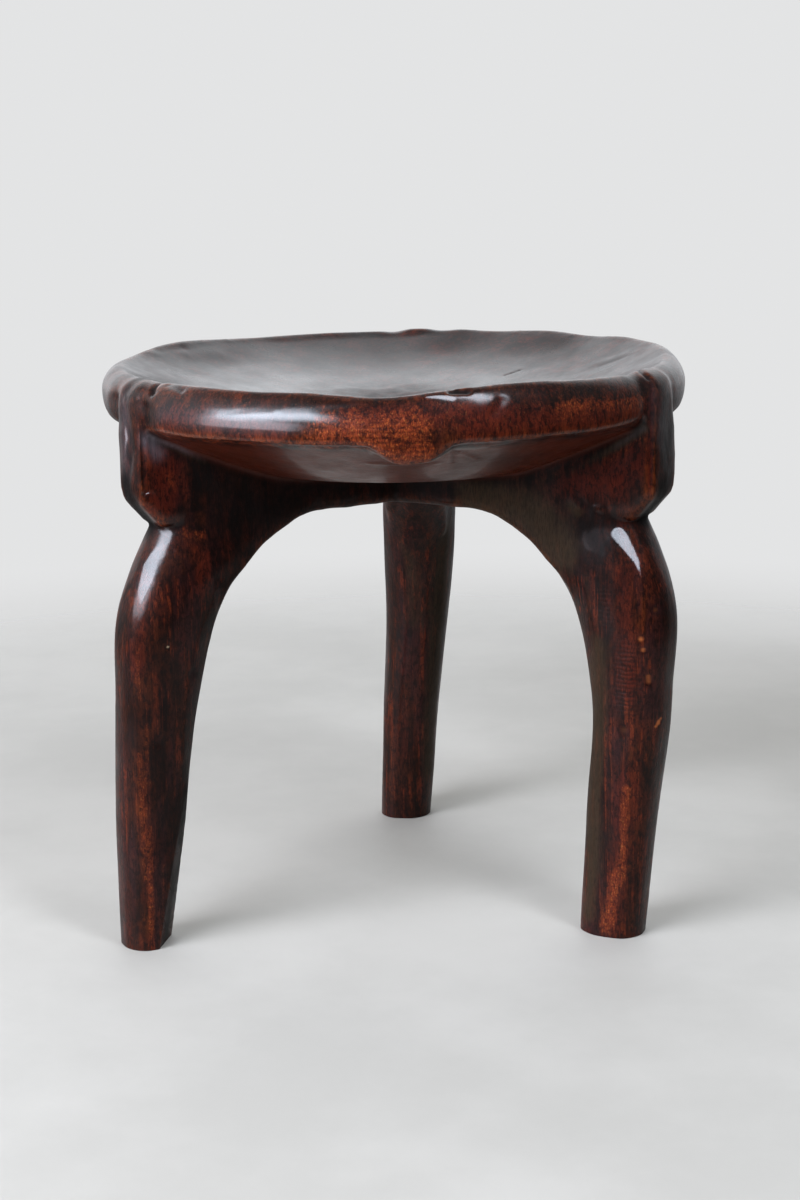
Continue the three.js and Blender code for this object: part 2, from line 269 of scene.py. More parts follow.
@dataclass(frozen=True)
class SeatBlank:
    """The round seat: a dish on top, a bullnosed rim and a bowl below."""

    height: float = 308.0
    radius: float = 160.0
    crest_inset: float = 11.0
    crest_rounding: float = 6.0
    dish_depth: float = 30.0
    dish_power: float = 2.2
    rim_face: float = 24.5
    rim_bulge_drop: float = 12.0
    rim_belly: float = 6.0
    rim_undercut: float = 5.0
    rim_lip: float = 1.5
    rim_lip_rounding: float = 4.0
    bowl_depth: float = 36.5
    bowl_crown_radius: float = 53.0
    bowl_flat_radius: float = 86.0
    bowl_flat_sag: float = 6.0
    bowl_flank_run: float = 22.0
    tongue_azimuth: float = 273.0
    tongue_drop: float = 8.5
    tongue_spread: float = 6.0
    tongue_root: float = 10.0
    front_droop: float = 7.5
    front_half_angle: Pair = (38.0, 62.0)
    droop_run: Pair = (-2.0, 4.0)
    swells: Tuple[Swell, ...] = (
        Swell(8, 2.6, 12),
        Swell(27, 2.6, 10),
        Swell(50, 1.8, 10),
        Swell(76, 1.6, 7),
        Swell(148, 3.0, 14),
        Swell(267, -2.2, 9),
        Swell(295, 2.5, 14),
    )
    steps_round: int = 216
    steps_outline: Tuple[int, int, int] = (24, 30, 18)
    steps_dish: int = 60

    @property
    def crest_radius(self) -> float:
        """Distance of the crest from the seat axis."""
        return self.radius - self.crest_inset

    @property
    def rim_bottom(self) -> float:
        """Height of the rim's lower edge."""
        return self.height - self.rim_face

    @property
    def bowl_bottom(self) -> float:
        """Height of the bowl's underside at the seat axis."""
        return self.rim_bottom - self.bowl_depth

    def dish_height(self, radius: np.ndarray) -> np.ndarray:
        """Height of the sitting surface at a distance from the seat axis."""
        share = np.minimum(np.asarray(radius, float) / self.crest_radius, 1.0)
        return self.height - self.dish_depth * (1.0 - share**self.dish_power)

    def bowl_outline(self) -> np.ndarray:
        """Draws the underside of the bowl, from the axis out to the rim.

        Returns:
            Rows of radius and height.
        """
        knuckle = (self.bowl_flat_radius, self.bowl_bottom + self.bowl_flat_sag)
        edge = (self.radius - self.rim_undercut, self.rim_bottom - self.rim_lip)
        corner = (knuckle[0] + self.bowl_flank_run, knuckle[1] + self.bowl_flat_sag)
        on_crown, on_flank, _ = self.steps_outline
        crown = bow((0.0, self.bowl_bottom), (self.bowl_crown_radius, self.bowl_bottom), knuckle, on_crown)
        return np.concatenate([crown, bow(knuckle, corner, edge, on_flank)[1:]])

    def rim_outline(self) -> np.ndarray:
        """Draws the outer face of the rim, from its lower edge up to the crest.

        Returns:
            Rows of radius and height.
        """
        bulge = (self.radius, self.height - self.rim_bulge_drop)
        foot = (self.radius - self.rim_undercut, self.rim_bottom - self.rim_lip)
        lip = (foot[0] + self.rim_lip_rounding, foot[1] + self.rim_lip_rounding / 2)
        steps = self.steps_outline[2]
        lower = bend(foot, lip, (self.radius, bulge[1] - self.rim_belly), bulge, steps)
        shoulder = (self.radius, bulge[1] + self.crest_rounding)
        crest = (self.crest_radius, self.height)
        upper = bend(bulge, shoulder, (self.crest_radius + self.crest_rounding, self.height), crest, steps)
        return np.concatenate([lower[1:], upper[1:]])

    def dish_outline(self) -> np.ndarray:
        """Sitting surface from the crest in to the axis."""
        radius = self.crest_radius * np.linspace(1.0, 0.0, self.steps_dish)[1:]
        return np.stack([radius, self.dish_height(radius)], axis=1)

    def hand_cut(self, points: np.ndarray) -> np.ndarray:
        """Moves the points of the rim as the maker cut it: an uneven crest and a tongue.

        Args:
            points: Points of the turned blank.

        Returns:
            The same points in their places.
        """
        turn, radius = round_by_turn(points)
        moved = points.copy()
        near_crest = ease(points[:, 2], self.height - self.rim_bulge_drop, self.height)
        for swell in self.swells:
            away = (turn - swell.azimuth + 180.0) % 360.0 - 180.0
            moved[:, 2] += near_crest * swell.rise * np.exp(-((away / swell.spread) ** 2))
        across = np.exp(-(((turn - self.tongue_azimuth) / self.tongue_spread) ** 4))
        edge = self.radius - self.rim_undercut
        outward = ease(radius, edge - self.tongue_root, edge)
        bulge = self.height - self.rim_bulge_drop
        low = 1.0 - ease(points[:, 2], self.rim_bottom, bulge)
        moved[:, 2] -= self.tongue_drop * across * outward * low
        front = 1.0 - ease(np.abs(turn - 270.0), *self.front_half_angle)
        belly = np.clip(1.0 - ((points[:, 2] - bulge) / self.rim_bulge_drop) ** 2, 0.0, 1.0)
        inner, outer = (self.crest_radius + step for step in self.droop_run)
        moved[:, 2] -= self.front_droop * front * belly * ease(radius, inner, outer)
        return moved

    def build(self) -> bmesh.types.BMesh:
        """Turns the outline round the seat axis and cuts the rim.

        Returns:
            The closed blank.
        """
        outline = np.concatenate([self.bowl_outline(), self.rim_outline(), self.dish_outline()])
        form = turned(outline, self.steps_round)
        points = self.hand_cut(np.array([tuple(v.co) for v in form.verts]))
        for vert, point in zip(form.verts, points):
            vert.co = point
        return form


@dataclass(frozen=True)
class Station:
    """One section of a leg: its height, its place in the plane of its arm, and its size."""

    height: float
    inset: float
    sway: float
    depth: float
    width: float
    tilt: float = 0.0


@dataclass(frozen=True)
class LimbBlank:
    """One arm with its shoulder and lug, and the leg below it."""

    limb: Limb
    azimuth: float
    proud: float
    lug_rise: float
    stations: Tuple[Station, ...]
    seat: SeatBlank = field(default_factory=SeatBlank)
    hub_half_width: float = 16.0
    arm_half_width: float = 19.0
    lug_half_width: float = 14.5
    taper_length: float = 55.0
    arch: Tuple[Pair, ...] = (
        (40, 230.5),
        (54, 231),
        (63, 230.3),
        (70, 228.4),
        (78, 224.4),
        (86, 220),
        (93, 215.2),
        (100, 208.4),
        (106.5, 201.8),
        (112, 195.8),
        (116, 190),
        (118.5, 184.5),
    )
    arch_steps: int = 48
    overhang_start: float = 129.0
    overhang_sink: Pair = (5.0, 2.0)
    shoulder_drop: float = 61.0
    shoulder_rounding: float = 8.0
    neck_drop: float = 77.0
    neck_notch: float = 12.5
    neck_inner_inset: float = 73.0
    neck_inner_drop: float = 87.5
    neck_width: float = 37.5
    lug_root: float = 34.0
    lug_sink: float = 4.0
    lug_lead: Pair = (12.0, 8.0)
    hub_overrun: float = 16.0
    arm_squareness: float = 9.0
    leg_squareness: float = 2.35
    fuse: float = 10.0
    arm_steps: Tuple[int, int] = (90, 72)
    arm_crowding: float = 1.5
    leg_steps: Tuple[int, int] = (110, 64)

    @property
    def reach(self) -> float:
        """Distance of the shoulder's face from the seat axis."""
        return self.seat.radius + self.proud

    @property
    def neck_inner(self) -> np.ndarray:
        """Where the neck meets the arch, as reach and height."""
        return np.array([self.seat.radius - self.neck_inner_inset, self.seat.height - self.neck_inner_drop])

    @property
    def neck_outer(self) -> np.ndarray:
        """Root of the notch under the shoulder, as reach and height."""
        return np.array([self.reach - self.neck_notch, self.seat.height - self.neck_drop])

    def out(self, reach: float, side: float, height: float) -> np.ndarray:
        """Point in space from its place in the plane of the arm."""
        c, s = compass(self.azimuth)
        return SEAT_AXIS + np.array([reach * c - side * s, reach * s + side * c, height])

    def inside(self, points: np.ndarray) -> np.ndarray:
        """Finds places in the plane of the arm.

        Args:
            points: Points in space.

        Returns:
            Their reach, side and height, one point to a row.
        """
        c, s = compass(self.azimuth)
        rel = points - SEAT_AXIS
        return np.stack([rel[:, 0] * c + rel[:, 1] * s, rel[:, 1] * c - rel[:, 0] * s, rel[:, 2]], axis=1)

    def underside(self) -> np.ndarray:
        """Draws the lower edge of the arm: flat hub, arch, neck, notch and shoulder.

        Returns:
            Rows of reach and height.
        """
        foot = self.seat.height - self.shoulder_drop
        toe = (self.reach - self.shoulder_rounding / 4, foot - self.shoulder_rounding / 2)
        heel = bow(toe, (self.reach, foot), (self.reach + HAIR, foot + self.shoulder_rounding), 6)
        back, up = self.overhang_sink
        buried = (self.overhang_start - back, self.arch[-1][1] + up)
        ledge = (self.overhang_start, self.neck_outer[1])
        hub = (-self.hub_overrun, self.arch[0][1])
        run = np.linspace(self.arch[0][0], self.arch[-1][0], self.arch_steps)
        arch = np.stack([run, self.arch_height(run)], axis=1)
        return np.concatenate([[hub], arch, [buried, ledge, self.neck_outer], heel])

    def arch_height(self, reach: np.ndarray) -> np.ndarray:
        """Height of the arch's edge, from the hub out to the inside of the leg."""
        knots = np.array(self.arch, float)
        return smooth_through(knots[:, 0], knots[:, 1:], np.asarray(reach, float))[:, 0]

    def upside(self) -> np.ndarray:
        """Draws the upper edge of the arm: buried in the bowl, then over the rim as the lug.

        Returns:
            Rows of reach and height.
        """
        top = self.seat.height + self.lug_rise
        root = self.reach - self.lug_root
        crest = self.seat.crest_radius
        back, up = self.lug_lead
        buried = float(self.seat.dish_height(0.0) + self.seat.bowl_bottom) / 2
        sunk = float(self.seat.dish_height(root)) - self.lug_sink
        bulge = self.seat.height - self.seat.rim_bulge_drop
        over = bow((crest, top), (self.reach, top), (self.reach + HAIR, bulge), 12)
        return np.concatenate([[(-self.hub_overrun, buried), (root - back, buried + up), (root, sunk)], over])

    def half_width(self, reach: float) -> float:
        """Finds how thick the arm is.

        Args:
            reach: Distance from the seat axis.

        Returns:
            Half of the arm's width there.
        """
        start = self.reach - self.taper_length
        grown = self.hub_half_width + (self.arm_half_width - self.hub_half_width) * ease(reach, 0, start)
        return float(grown + (self.lug_half_width - grown) * ease(reach, start, self.reach))

    def build_arm(self) -> bmesh.types.BMesh:
        """Lofts the arm outwards, from the hub to the face of the shoulder.

        Returns:
            The closed blank.
        """
        below, above = self.underside(), self.upside()

        def place(angle: float, share: float) -> np.ndarray:
            """Finds a point of the arm's skin.

            Args:
                angle: The angle around the arm.
                share: The share of its length.

            Returns:
                The point in space.
            """
            run = 1 - (1 - share) ** self.arm_crowding
            reach = -self.hub_overrun + (self.reach + self.hub_overrun) * run
            low = np.interp(reach, below[:, 0], below[:, 1])
            high = np.interp(reach, above[:, 0], above[:, 1])
            side, rise = squared(angle, self.arm_squareness)
            height = (low + high) / 2 + rise * (high - low) / 2
            return self.out(reach, side * self.half_width(reach), height)

        return tube(*self.arm_steps, place)

    def leg_section(self, height: np.ndarray) -> np.ndarray:
        """Works out the leg's sections between its stations.

        Args:
            height: Where sections are wanted.

        Returns:
            Rows of reach, sway, half depth, half width and tilt.
        """
        across = self.neck_outer - self.neck_inner
        middle = (self.neck_outer + self.neck_inner) / 2
        tilt = math.degrees(math.atan2(across[1], across[0]))
        span = float(np.linalg.norm(across))
        neck = Station(middle[1], self.seat.radius - middle[0], 0.0, span, self.neck_width, tilt)
        knots = list(self.stations) + [neck]
        levels = np.array([s.height for s in knots])
        wide = self.seat.radius
        rows = np.array([(wide - s.inset, s.sway, s.depth / 2, s.width / 2, s.tilt) for s in knots])
        return smooth_through(levels, rows, height)

    def build_leg(self) -> bmesh.types.BMesh:
        """Lofts the leg upwards, from below the floor line into the arm.

        Returns:
            The closed blank.
        """
        rings, sides = self.leg_steps
        low = -self.fuse / 2
        high = (self.neck_outer[1] + self.neck_inner[1]) / 2 + self.fuse
        levels = np.linspace(low, high, rings + 1)
        sections = self.leg_section(levels)

        def place(angle: float, share: float) -> np.ndarray:
            """Finds a point of the leg's skin.

            Args:
                angle: The angle around the leg.
                share: The share of its length.

            Returns:
                The point in space.
            """
            step = int(round(share * rings))
            reach, sway, depth, width, tilt = sections[step]
            along, side = squared(angle, self.leg_squareness)
            lean = math.radians(tilt)
            run = depth * along
            height = levels[step] + run * math.sin(lean)
            return self.out(reach + run * math.cos(lean), sway + width * side, height)

        return tube(rings, sides, place)


def squared(angle: float, power: float) -> Pair:
    """Finds a point of a rounded square of half side 1.

    Args:
        angle: The angle around the square.
        power: How square it is: 2 is a circle.

    Returns:
        The point.
    """
    c, s = math.cos(angle), math.sin(angle)
    share = 2.0 / power
    return math.copysign(abs(c) ** share, c), math.copysign(abs(s) ** share, s)


def smooth_through(levels: np.ndarray, rows: np.ndarray, wanted: np.ndarray) -> np.ndarray:
    """Smooth curve through rows of values.

    Args:
        levels: Where each row of values lies, rising.
        rows: The values there.
        wanted: Where values are wanted; past the ends they hold still.

    Returns:
        A row of values for each wanted level.
    """
    gaps = np.diff(levels)[:, None]
    slopes = np.diff(rows, axis=0) / gaps
    inner = (slopes[:-1] * gaps[1:] + slopes[1:] * gaps[:-1]) / (gaps[1:] + gaps[:-1])
    tangents = np.concatenate([slopes[:1], inner, slopes[-1:]])
    clipped = np.clip(wanted, levels[0], levels[-1])
    seat = np.clip(np.searchsorted(levels, clipped, side="right") - 1, 0, len(levels) - 2)
    gap = gaps[seat]
    t = ((clipped - levels[seat])[:, None]) / gap
    return (
        rows[seat] * (2 * t**3 - 3 * t**2 + 1)
        + tangents[seat] * gap * (t**3 - 2 * t**2 + t)
        + rows[seat + 1] * (3 * t**2 - 2 * t**3)
        + tangents[seat + 1] * gap * (t**3 - t**2)
    )


def leg(*rows: Tuple[float, ...]) -> Tuple[Station, ...]:
    """The stations of a leg, from the foot up, written as rows of numbers."""
    return tuple(Station(*row) for row in rows)


LIMBS = (
    LimbBlank(
        limb=Limb.REAR,
        azimuth=83.5,
        proud=0.0,
        lug_rise=1.5,
        stations=leg(
            (0, 20.5, 12.5, 30, 30.2),
            (65, 18, 9, 37, 33.5),
            (136, 16.5, 3.5, 43.5, 39.5),
            (190, 22, 1, 54, 43.5, 2),
            (213, 34, 0, 59, 42.5, 8),
        ),
    ),
    LimbBlank(
        limb=Limb.FRONT_LEFT,
        azimuth=210.5,
        proud=1.0,
        lug_rise=0.0,
        stations=leg(
            (0, 0, -3, 28.5, 30.2),
            (65, 3.5, -2, 36, 33.5),
            (136, 10.5, -1, 44, 39.5),
            (190, 21.3, 0, 55, 43.5, 2),
            (213, 34, 0, 59.5, 42.5, 8),
        ),
    ),
    LimbBlank(
        limb=Limb.FRONT_RIGHT,
        azimuth=329.8,
        proud=3.0,
        lug_rise=1.0,
        stations=leg(
            (0, 24, -3, 35, 30.2),
            (65, 19.5, -2, 38.5, 33.5),
            (136, 14.7, -1, 42.5, 39.5),
            (190, 21.5, 0, 56, 43.5, 2),
            (213, 33.5, 0, 61, 42.5, 8),
        ),
    ),
)


def mesh_of(name: str, form: bmesh.types.BMesh) -> bpy.types.Object:
    """Makes an object of a finished form and frees the form.

    Args:
        name: The object's name.
        form: The form.

    Returns:
        The object, in the scene.
    """
    mesh = bpy.data.meshes.new(name)
    form.to_mesh(mesh)
    form.free()
    return shown(bpy.data.objects.new(name, mesh))


def shown(piece: bpy.types.Object) -> bpy.types.Object:
    """Links an object into the scene."""
    bpy.context.scene.collection.objects.link(piece)
    return piece


def settled(piece: bpy.types.Object) -> bpy.types.Object:
    """Applies a piece's modifiers.

    Args:
        piece: The piece.

    Returns:
        The same piece with its finished mesh.
    """
    bpy.context.view_layer.update()
    graph = bpy.context.evaluated_depsgraph_get()
    mesh = bpy.data.meshes.new_from_object(piece.evaluated_get(graph))
    old = piece.data
    piece.modifiers.clear()
    piece.data = mesh
    mesh.name = piece.name
    bpy.data.meshes.remove(old)
    return piece


def scrap(*pieces: bpy.types.Object) -> None:
    """Throws away helper objects with their meshes.

    Args:
        pieces: The objects.
    """
    for piece in pieces:
        mesh = piece.data
        bpy.data.objects.remove(piece)
        bpy.data.meshes.remove(mesh)


def twin(piece: bpy.types.Object, name: str) -> bpy.types.Object:
    """A copy of a piece with a mesh of its own."""
    return shown(bpy.data.objects.new(name, piece.data.copy()))


def combine(piece: bpy.types.Object, tool: bpy.types.Object, how: str) -> None:
    """Cuts a piece with a tool object, or joins the two.

    Args:
        piece: What is changed.
        tool: The other solid.
        how: UNION, DIFFERENCE or INTERSECT.
    """
    change = piece.modifiers.new("cut", "BOOLEAN")
    change.operation = how
    change.solver = "MANIFOLD"
    change.object = tool
    settled(piece)


def neighbour_sum(line: np.ndarray, links: np.ndarray) -> np.ndarray:
    """Adds up the values that each point's neighbours have."""
    first, second = links[:, 0], links[:, 1]
    return np.bincount(first, line[second], len(line)) + np.bincount(second, line[first], len(line))


class Block:
    """The fused block of wood, held as arrays of points while it is cut."""

    def __init__(self, body: bpy.types.Object) -> None:
        """Takes hold of a meshed body.

        Args:
            body: The fused body, one closed mesh.
        """
        self.body = body
        self.points = read(body.data.vertices, "co", 3).astype(float)
        self._ends = read(body.data.edges, "vertices", 2, np.int32)
        self._valence = np.bincount(self._ends.ravel(), minlength=len(self.points)).astype(float)

    @property
    def normals(self) -> np.ndarray:
        """Outward direction at each point, as the block now stands."""
        self._write()
        return read(self.body.data.vertex_normals, "vector", 3).astype(float)

    def _write(self) -> None:
        """Puts the points back into the body's mesh."""
        self.body.data.vertices.foreach_set("co", self.points.astype(np.float32).ravel())
        self.body.data.update()

    def averaged(self, values: np.ndarray, rounds: int, strength: float = 0.5) -> np.ndarray:
        """Evens values out over their neighbours.

        Args:
            values: One value or row of values for each point.
            rounds: How often each point is drawn to its neighbours.
            strength: How far it is drawn each time, up to 1.

        Returns:
            The evened values.
        """
        rows = values.reshape(len(self.points), -1).copy()
        for _ in range(rounds):
            for column in range(rows.shape[1]):
                line = rows[:, column]
                rows[:, column] = line + strength * (neighbour_sum(line, self._ends) / self._valence - line)
        return rows.reshape(values.shape)

    def smooth(self, rounds: int) -> None:
        """Softens the whole skin without shrinking it.

        Args:
            rounds: How often it is gone over.
        """
        for _ in range(rounds):
            for strength in SMOOTHING:
                self.points = self.averaged(self.points, 1, strength)

    def blend_in(self, share: np.ndarray, rounds: int) -> None:
        """Rubs the skin down where the share is high, so that forms run into each other.

        Args:
            share: How much of the rubbing each point takes, from 0 to 1.
            rounds: How long it is rubbed.
        """
        part = np.nonzero(self.averaged((share > UNTOUCHED).astype(float), 1) > 0)[0]
        inside = np.zeros(len(self.points), bool)
        inside[part] = True
        links = (np.cumsum(inside) - 1)[self._ends[inside[self._ends].all(axis=1)]]
        valence = np.maximum(np.bincount(links.ravel(), minlength=len(part)), 1)[:, None]
        rows = self.points[part]
        weight = share[part][:, None] * RUB
        for _ in range(rounds):
            total = np.stack([neighbour_sum(rows[:, column], links) for column in range(3)], axis=1)
            rows += weight * (total / valence - rows)
        self.points[part] = rows

    def push(self, amount: np.ndarray) -> None:
        """Moves each point outwards by its own amount."""
        self.points = self.points + self.normals * amount[:, None]

    def pull(self, shift: np.ndarray) -> None:
        """Moves each point by its own vector."""
        self.points = self.points + shift

    def bulge(self, rounds: int) -> np.ndarray:
        """How far each point stands out from the evened skin round it."""
        even = self.averaged(self.points, rounds, RUB)
        return np.einsum("ij,ij->i", self.points - even, self.normals)

    def done(self) -> bpy.types.Object:
        """The body with its points written back."""
        self._write()
        return self.body


@dataclass(frozen=True)
class ToolCuts:
    """Shallow scoops left side by side by a blade."""

    width: float
    length: float
    depth: float
    seed: int
    crowding: float = 1.3

    def height(self, points: np.ndarray) -> np.ndarray:
        """Height of the skin between the middles of the scoops and the ridges between them.

        Args:
            points: Points of the block.

        Returns:
            How far each point stands out, from 0 up to the depth of a scoop.
        """
        stretch = np.array([self.width, self.width, self.length])
        scaled = points / stretch
        low, high = scaled.min(axis=0) - 1, scaled.max(axis=0) + 1
        count = int(np.prod(high - low) * self.crowding)
        tree = sorted_for_search(np.random.default_rng(self.seed).uniform(low, high, (count, 3)))
        away = np.array([tree.find(point)[2] for point in scaled])
        return self.depth * np.clip(away, 0.0, 1.0) ** 2


@dataclass(frozen=True)
class Unevenness:
    """Broad hills and hollows of the skin, as the maker's eye left them."""

    seed: int
    size: Triple
    height: float

    def rise(self, points: np.ndarray) -> np.ndarray:
        """How far each point is raised or sunk."""
        return Noise(self.seed).at(points, self.size) * self.height


def near_path(points: np.ndarray, path: np.ndarray, reach: float) -> np.ndarray:
    """Numbers of the points that lie in a box round a path."""
    near = np.all((points > path.min(axis=0) - reach) & (points < path.max(axis=0) + reach), axis=1)
    return np.nonzero(near)[0]


def from_line(spots: np.ndarray, start: np.ndarray, end: np.ndarray) -> Tuple[np.ndarray, np.ndarray]:
    """Measures how spots lie to a straight stretch.

    Args:
        spots: The spots.
        start: Where the stretch begins.
        end: Where it ends.

    Returns:
        For each spot the share of the stretch at its foot, and its distance from there.
    """
    run = end - start
    along = np.clip((spots - start) @ run / max(run @ run, TINY), 0.0, 1.0)
    return along, np.linalg.norm(spots - start - along[:, None] * run, axis=1)


@dataclass(frozen=True)
class Mark:
    """A cut, dent, ridge or stain along a path over the skin, in places from the seat axis."""

    path: Path
    width: float
    depth: float = 0.0
    paint: Optional[Paint] = None
    strength: float = 1.0
    power: float = 2.0
    fading: float = 2.6

    def share(self, points: np.ndarray) -> Tuple[np.ndarray, np.ndarray]:
        """Finds the points that the mark reaches.

        Args:
            points: Points of the block, from the seat axis.

        Returns:
            Their numbers, and how much of the mark each takes, up to 1.
        """
        path = np.array(self.path, float)
        rows = near_path(points, path, self.width * self.fading)
        spots = points[rows]
        away = np.linalg.norm(spots - path[0], axis=1)
        for start, end in zip(path, path[1:]):
            away = np.minimum(away, from_line(spots, start, end)[1])
        return rows, np.exp(-((away / self.width) ** self.power))


@dataclass(frozen=True)
class Gleam:
    """A stroke along which the wood was rubbed or shaved to face one way, so that it catches the light."""

    path: Path
    widths: Tuple[float, ...]
    facing: Triple
    strength: float = 0.85
    soft: float = 1.2

    def turn(self, points: np.ndarray, normals: np.ndarray) -> np.ndarray:
        """Turns the shading of the places that the stroke reaches.

        Args:
            points: Points of the block, from the seat axis.
            normals: The direction that each of them faces.

        Returns:
            The new directions.
        """
        path = np.array(self.path, float)
        facing = np.array(self.facing) / np.linalg.norm(self.facing)
        rows = near_path(points, path, max(self.widths) + self.soft)
        share = np.zeros(len(rows))
        for start, end, first, last in zip(path, path[1:], self.widths, self.widths[1:]):
            along, away = from_line(points[rows], start, end)
            beyond = away - first - (last - first) * along
            share = np.maximum(share, 1.0 - ease(beyond, -self.soft, self.soft))
        share = share[:, None] * self.strength
        turned = normals.copy()
        turned[rows] = normals[rows] * (1.0 - share) + facing * share
        return turned / np.linalg.norm(turned, axis=1, keepdims=True)


def on_seat(*rows: Triple) -> Path:
    """A path given as rows of azimuth, radius and height."""
    return tuple((r * compass(turn)[0], r * compass(turn)[1], z) for turn, r, z in rows)


def on_limb(limb: Limb, *rows: Triple) -> Path:
    """A path given as rows of reach, side and height in the plane of an arm."""
    plan = next(item for item in LIMBS if item.limb is limb)
    return tuple(tuple(plan.out(*row) - SEAT_AXIS) for row in rows)


left, right, rear = (partial(on_limb, limb) for limb in (Limb.FRONT_LEFT, Limb.FRONT_RIGHT, Limb.REAR))


def cut_marks() -> Tuple[Mark, ...]:
    """Lists the nicks, cracks, dents and small ridges that can be felt in the wood.

    Returns:
        The marks in the order of their cutting.
    """
    return (
        Mark(on_seat((266.6, 151, 306.5), (267, 155.5, 303.6)), 0.9, 1.3, Paint.SOOT_AND_SHADE, 0.9),
        Mark(on_seat((267.7, 156.5, 302.6)), 1.3, 0.6, Paint.PALE, 0.8),
        Mark(on_seat((280.6, 151, 308), (283.4, 152, 308.2)), 2.0, 1.5, Paint.SOOT_AND_SHADE, 0.7, 4.0),
        Mark(on_seat((289.6, 158, 303.6), (287.9, 159.8, 297.8)), 2.6, 0.5, Paint.RED, 0.7),
        Mark(on_seat((292.6, 156, 306.4), (292.4, 158, 304)), 0.7, 0.6, Paint.SOOT_AND_SHADE, 0.6),
        Mark(on_seat((216.4, 147, 309), (217, 152, 307.2), (218, 157, 303.4)), 1.7, 1.6, Paint.SOOT_AND_SHADE, 0.4),
        # pale chip on the lit facet of the notch: partly painted highlight
        Mark(on_seat((219, 157, 304.6)), 1.4, 0.8, Paint.PALE, 1.0),
        Mark(on_seat((221, 151, 308.2), (226, 154, 306.6)), 2.0, 0.9),
        Mark(on_seat(
            (328.6, 148.5, 309.4), (326.6, 153.5, 308.8), (325.8, 158.5, 306),
        ), 1.5, 1.4, Paint.SOOT_AND_SHADE, 0.7),
        Mark(on_seat(
            (325.4, 160.5, 303), (324.9, 161, 284), (324.8, 161.2, 244),
        ), 1.2, 0.4, Paint.RED, 0.7),
        Mark(on_seat(
            (16.5, 122.6, 297.7), (13.7, 132.3, 301.3), (10.7, 140.5, 304.6),
        ), 2.2, 0.2, Paint.SOOT_AND_SHADE, 0.1),
        Mark(on_seat((20, 124, 298), (15.5, 137, 303)), 4.0, -0.25),
        Mark(on_seat((158, 148.2, 307.7), (149, 145.5, 306.5)), 3.4, 0.5),
        Mark(on_seat((150, 138, 304), (140, 136, 302.5)), 6.0, -0.25),
        Mark(on_seat((46, 93.7, 289), (43.8, 102.7, 291.3)), 0.9, 0.35, Paint.SOOT_AND_SHADE, 0.6),
        Mark(on_seat((265, 131, 270.6), (271, 129, 269), (279, 128.5, 268.8)), 2.6, -0.6),
        Mark(on_seat((280.4, 156.5, 281.6), (283.2, 128, 269)), 1.6, 0.35, Paint.SOOT_AND_SHADE, 0.3),
        Mark(on_seat((282.4, 147, 278), (288, 132, 271)), 1.1, -0.5, Paint.OLIVE, 0.4),
        Mark(left((158.5, 14.8, 249.6), (154.5, 16, 249)), 1.9, 0.6, Paint.SHINE, 1.0),
        Mark(left((161, 2, 307), (161, -5, 297), (161, 2, 285), (161, 6, 272), (161, 0, 256)), 3.8, 0.6),
        Mark(left((161, -4, 282), (161, -2, 264), (160, 4, 252)), 4.4, -0.4),
        Mark(left((161, 11, 296), (161, 12, 270)), 3.0, 0.5),
        Mark(right((163, 6, 300), (163, 2, 270), (162, 5, 252)), 5.0, 0.4),
        Mark(right((121, -17.6, 241.6), (125, -18, 238.6), (129, -18, 235.6), (134, -17, 233)), 2.2, 0.5),
        Mark(right((118, -18, 238), (122, -19, 234.5)), 3.0, -0.4, Paint.OLIVE, 0.9),
        Mark(right((92, -17.8, 231.2), (109, -17.2, 226.6)), 0.8, 0.4, Paint.PALE, 0.35),
        Mark(right((105.9, -17, 221.6)), 1.6, 0.7, Paint.RED, 0.8),
        Mark(right((141.4, -20.4, 119.3)), 2.0, 0.6, Paint.BARE, 0.26),
        Mark(right((148.9, -19.9, 119)), 3.4, 0.8, Paint.BARE, 0.30),
        Mark(right((157.8, -18.3, 169.6)), 1.7, 0.6, Paint.BARE, 1.0),
        Mark(right((158.9, -17.8, 163.8)), 1.6, 0.6, Paint.BARE, 0.8),
        Mark(right((163.4, -12.9, 184.5)), 2.2, 0.8, Paint.BARE, 0.36),
        Mark(right((161.1, -15.9, 149), (161.4, -15.6, 146)), 1.8, 0.9, Paint.BARE, 0.55),
        Mark(right((164.8, -7.5, 124.6), (163.6, -11, 120.4)), 0.9, 0.2, Paint.BARE, 1.0),
        Mark(right((164.4, -9.8, 123.6), (164.6, -8.6, 121.6)), 0.7, 0.2, Paint.BARE, 0.9),
        Mark(left((152, 20.4, 169.3)), 1.0, 0.4, Paint.PALE, 0.8),
        Mark(left((137, 21, 152)), 3.4, 0.8),
        Mark(left((158, 16, 118)), 3.6, 0.7),
    )


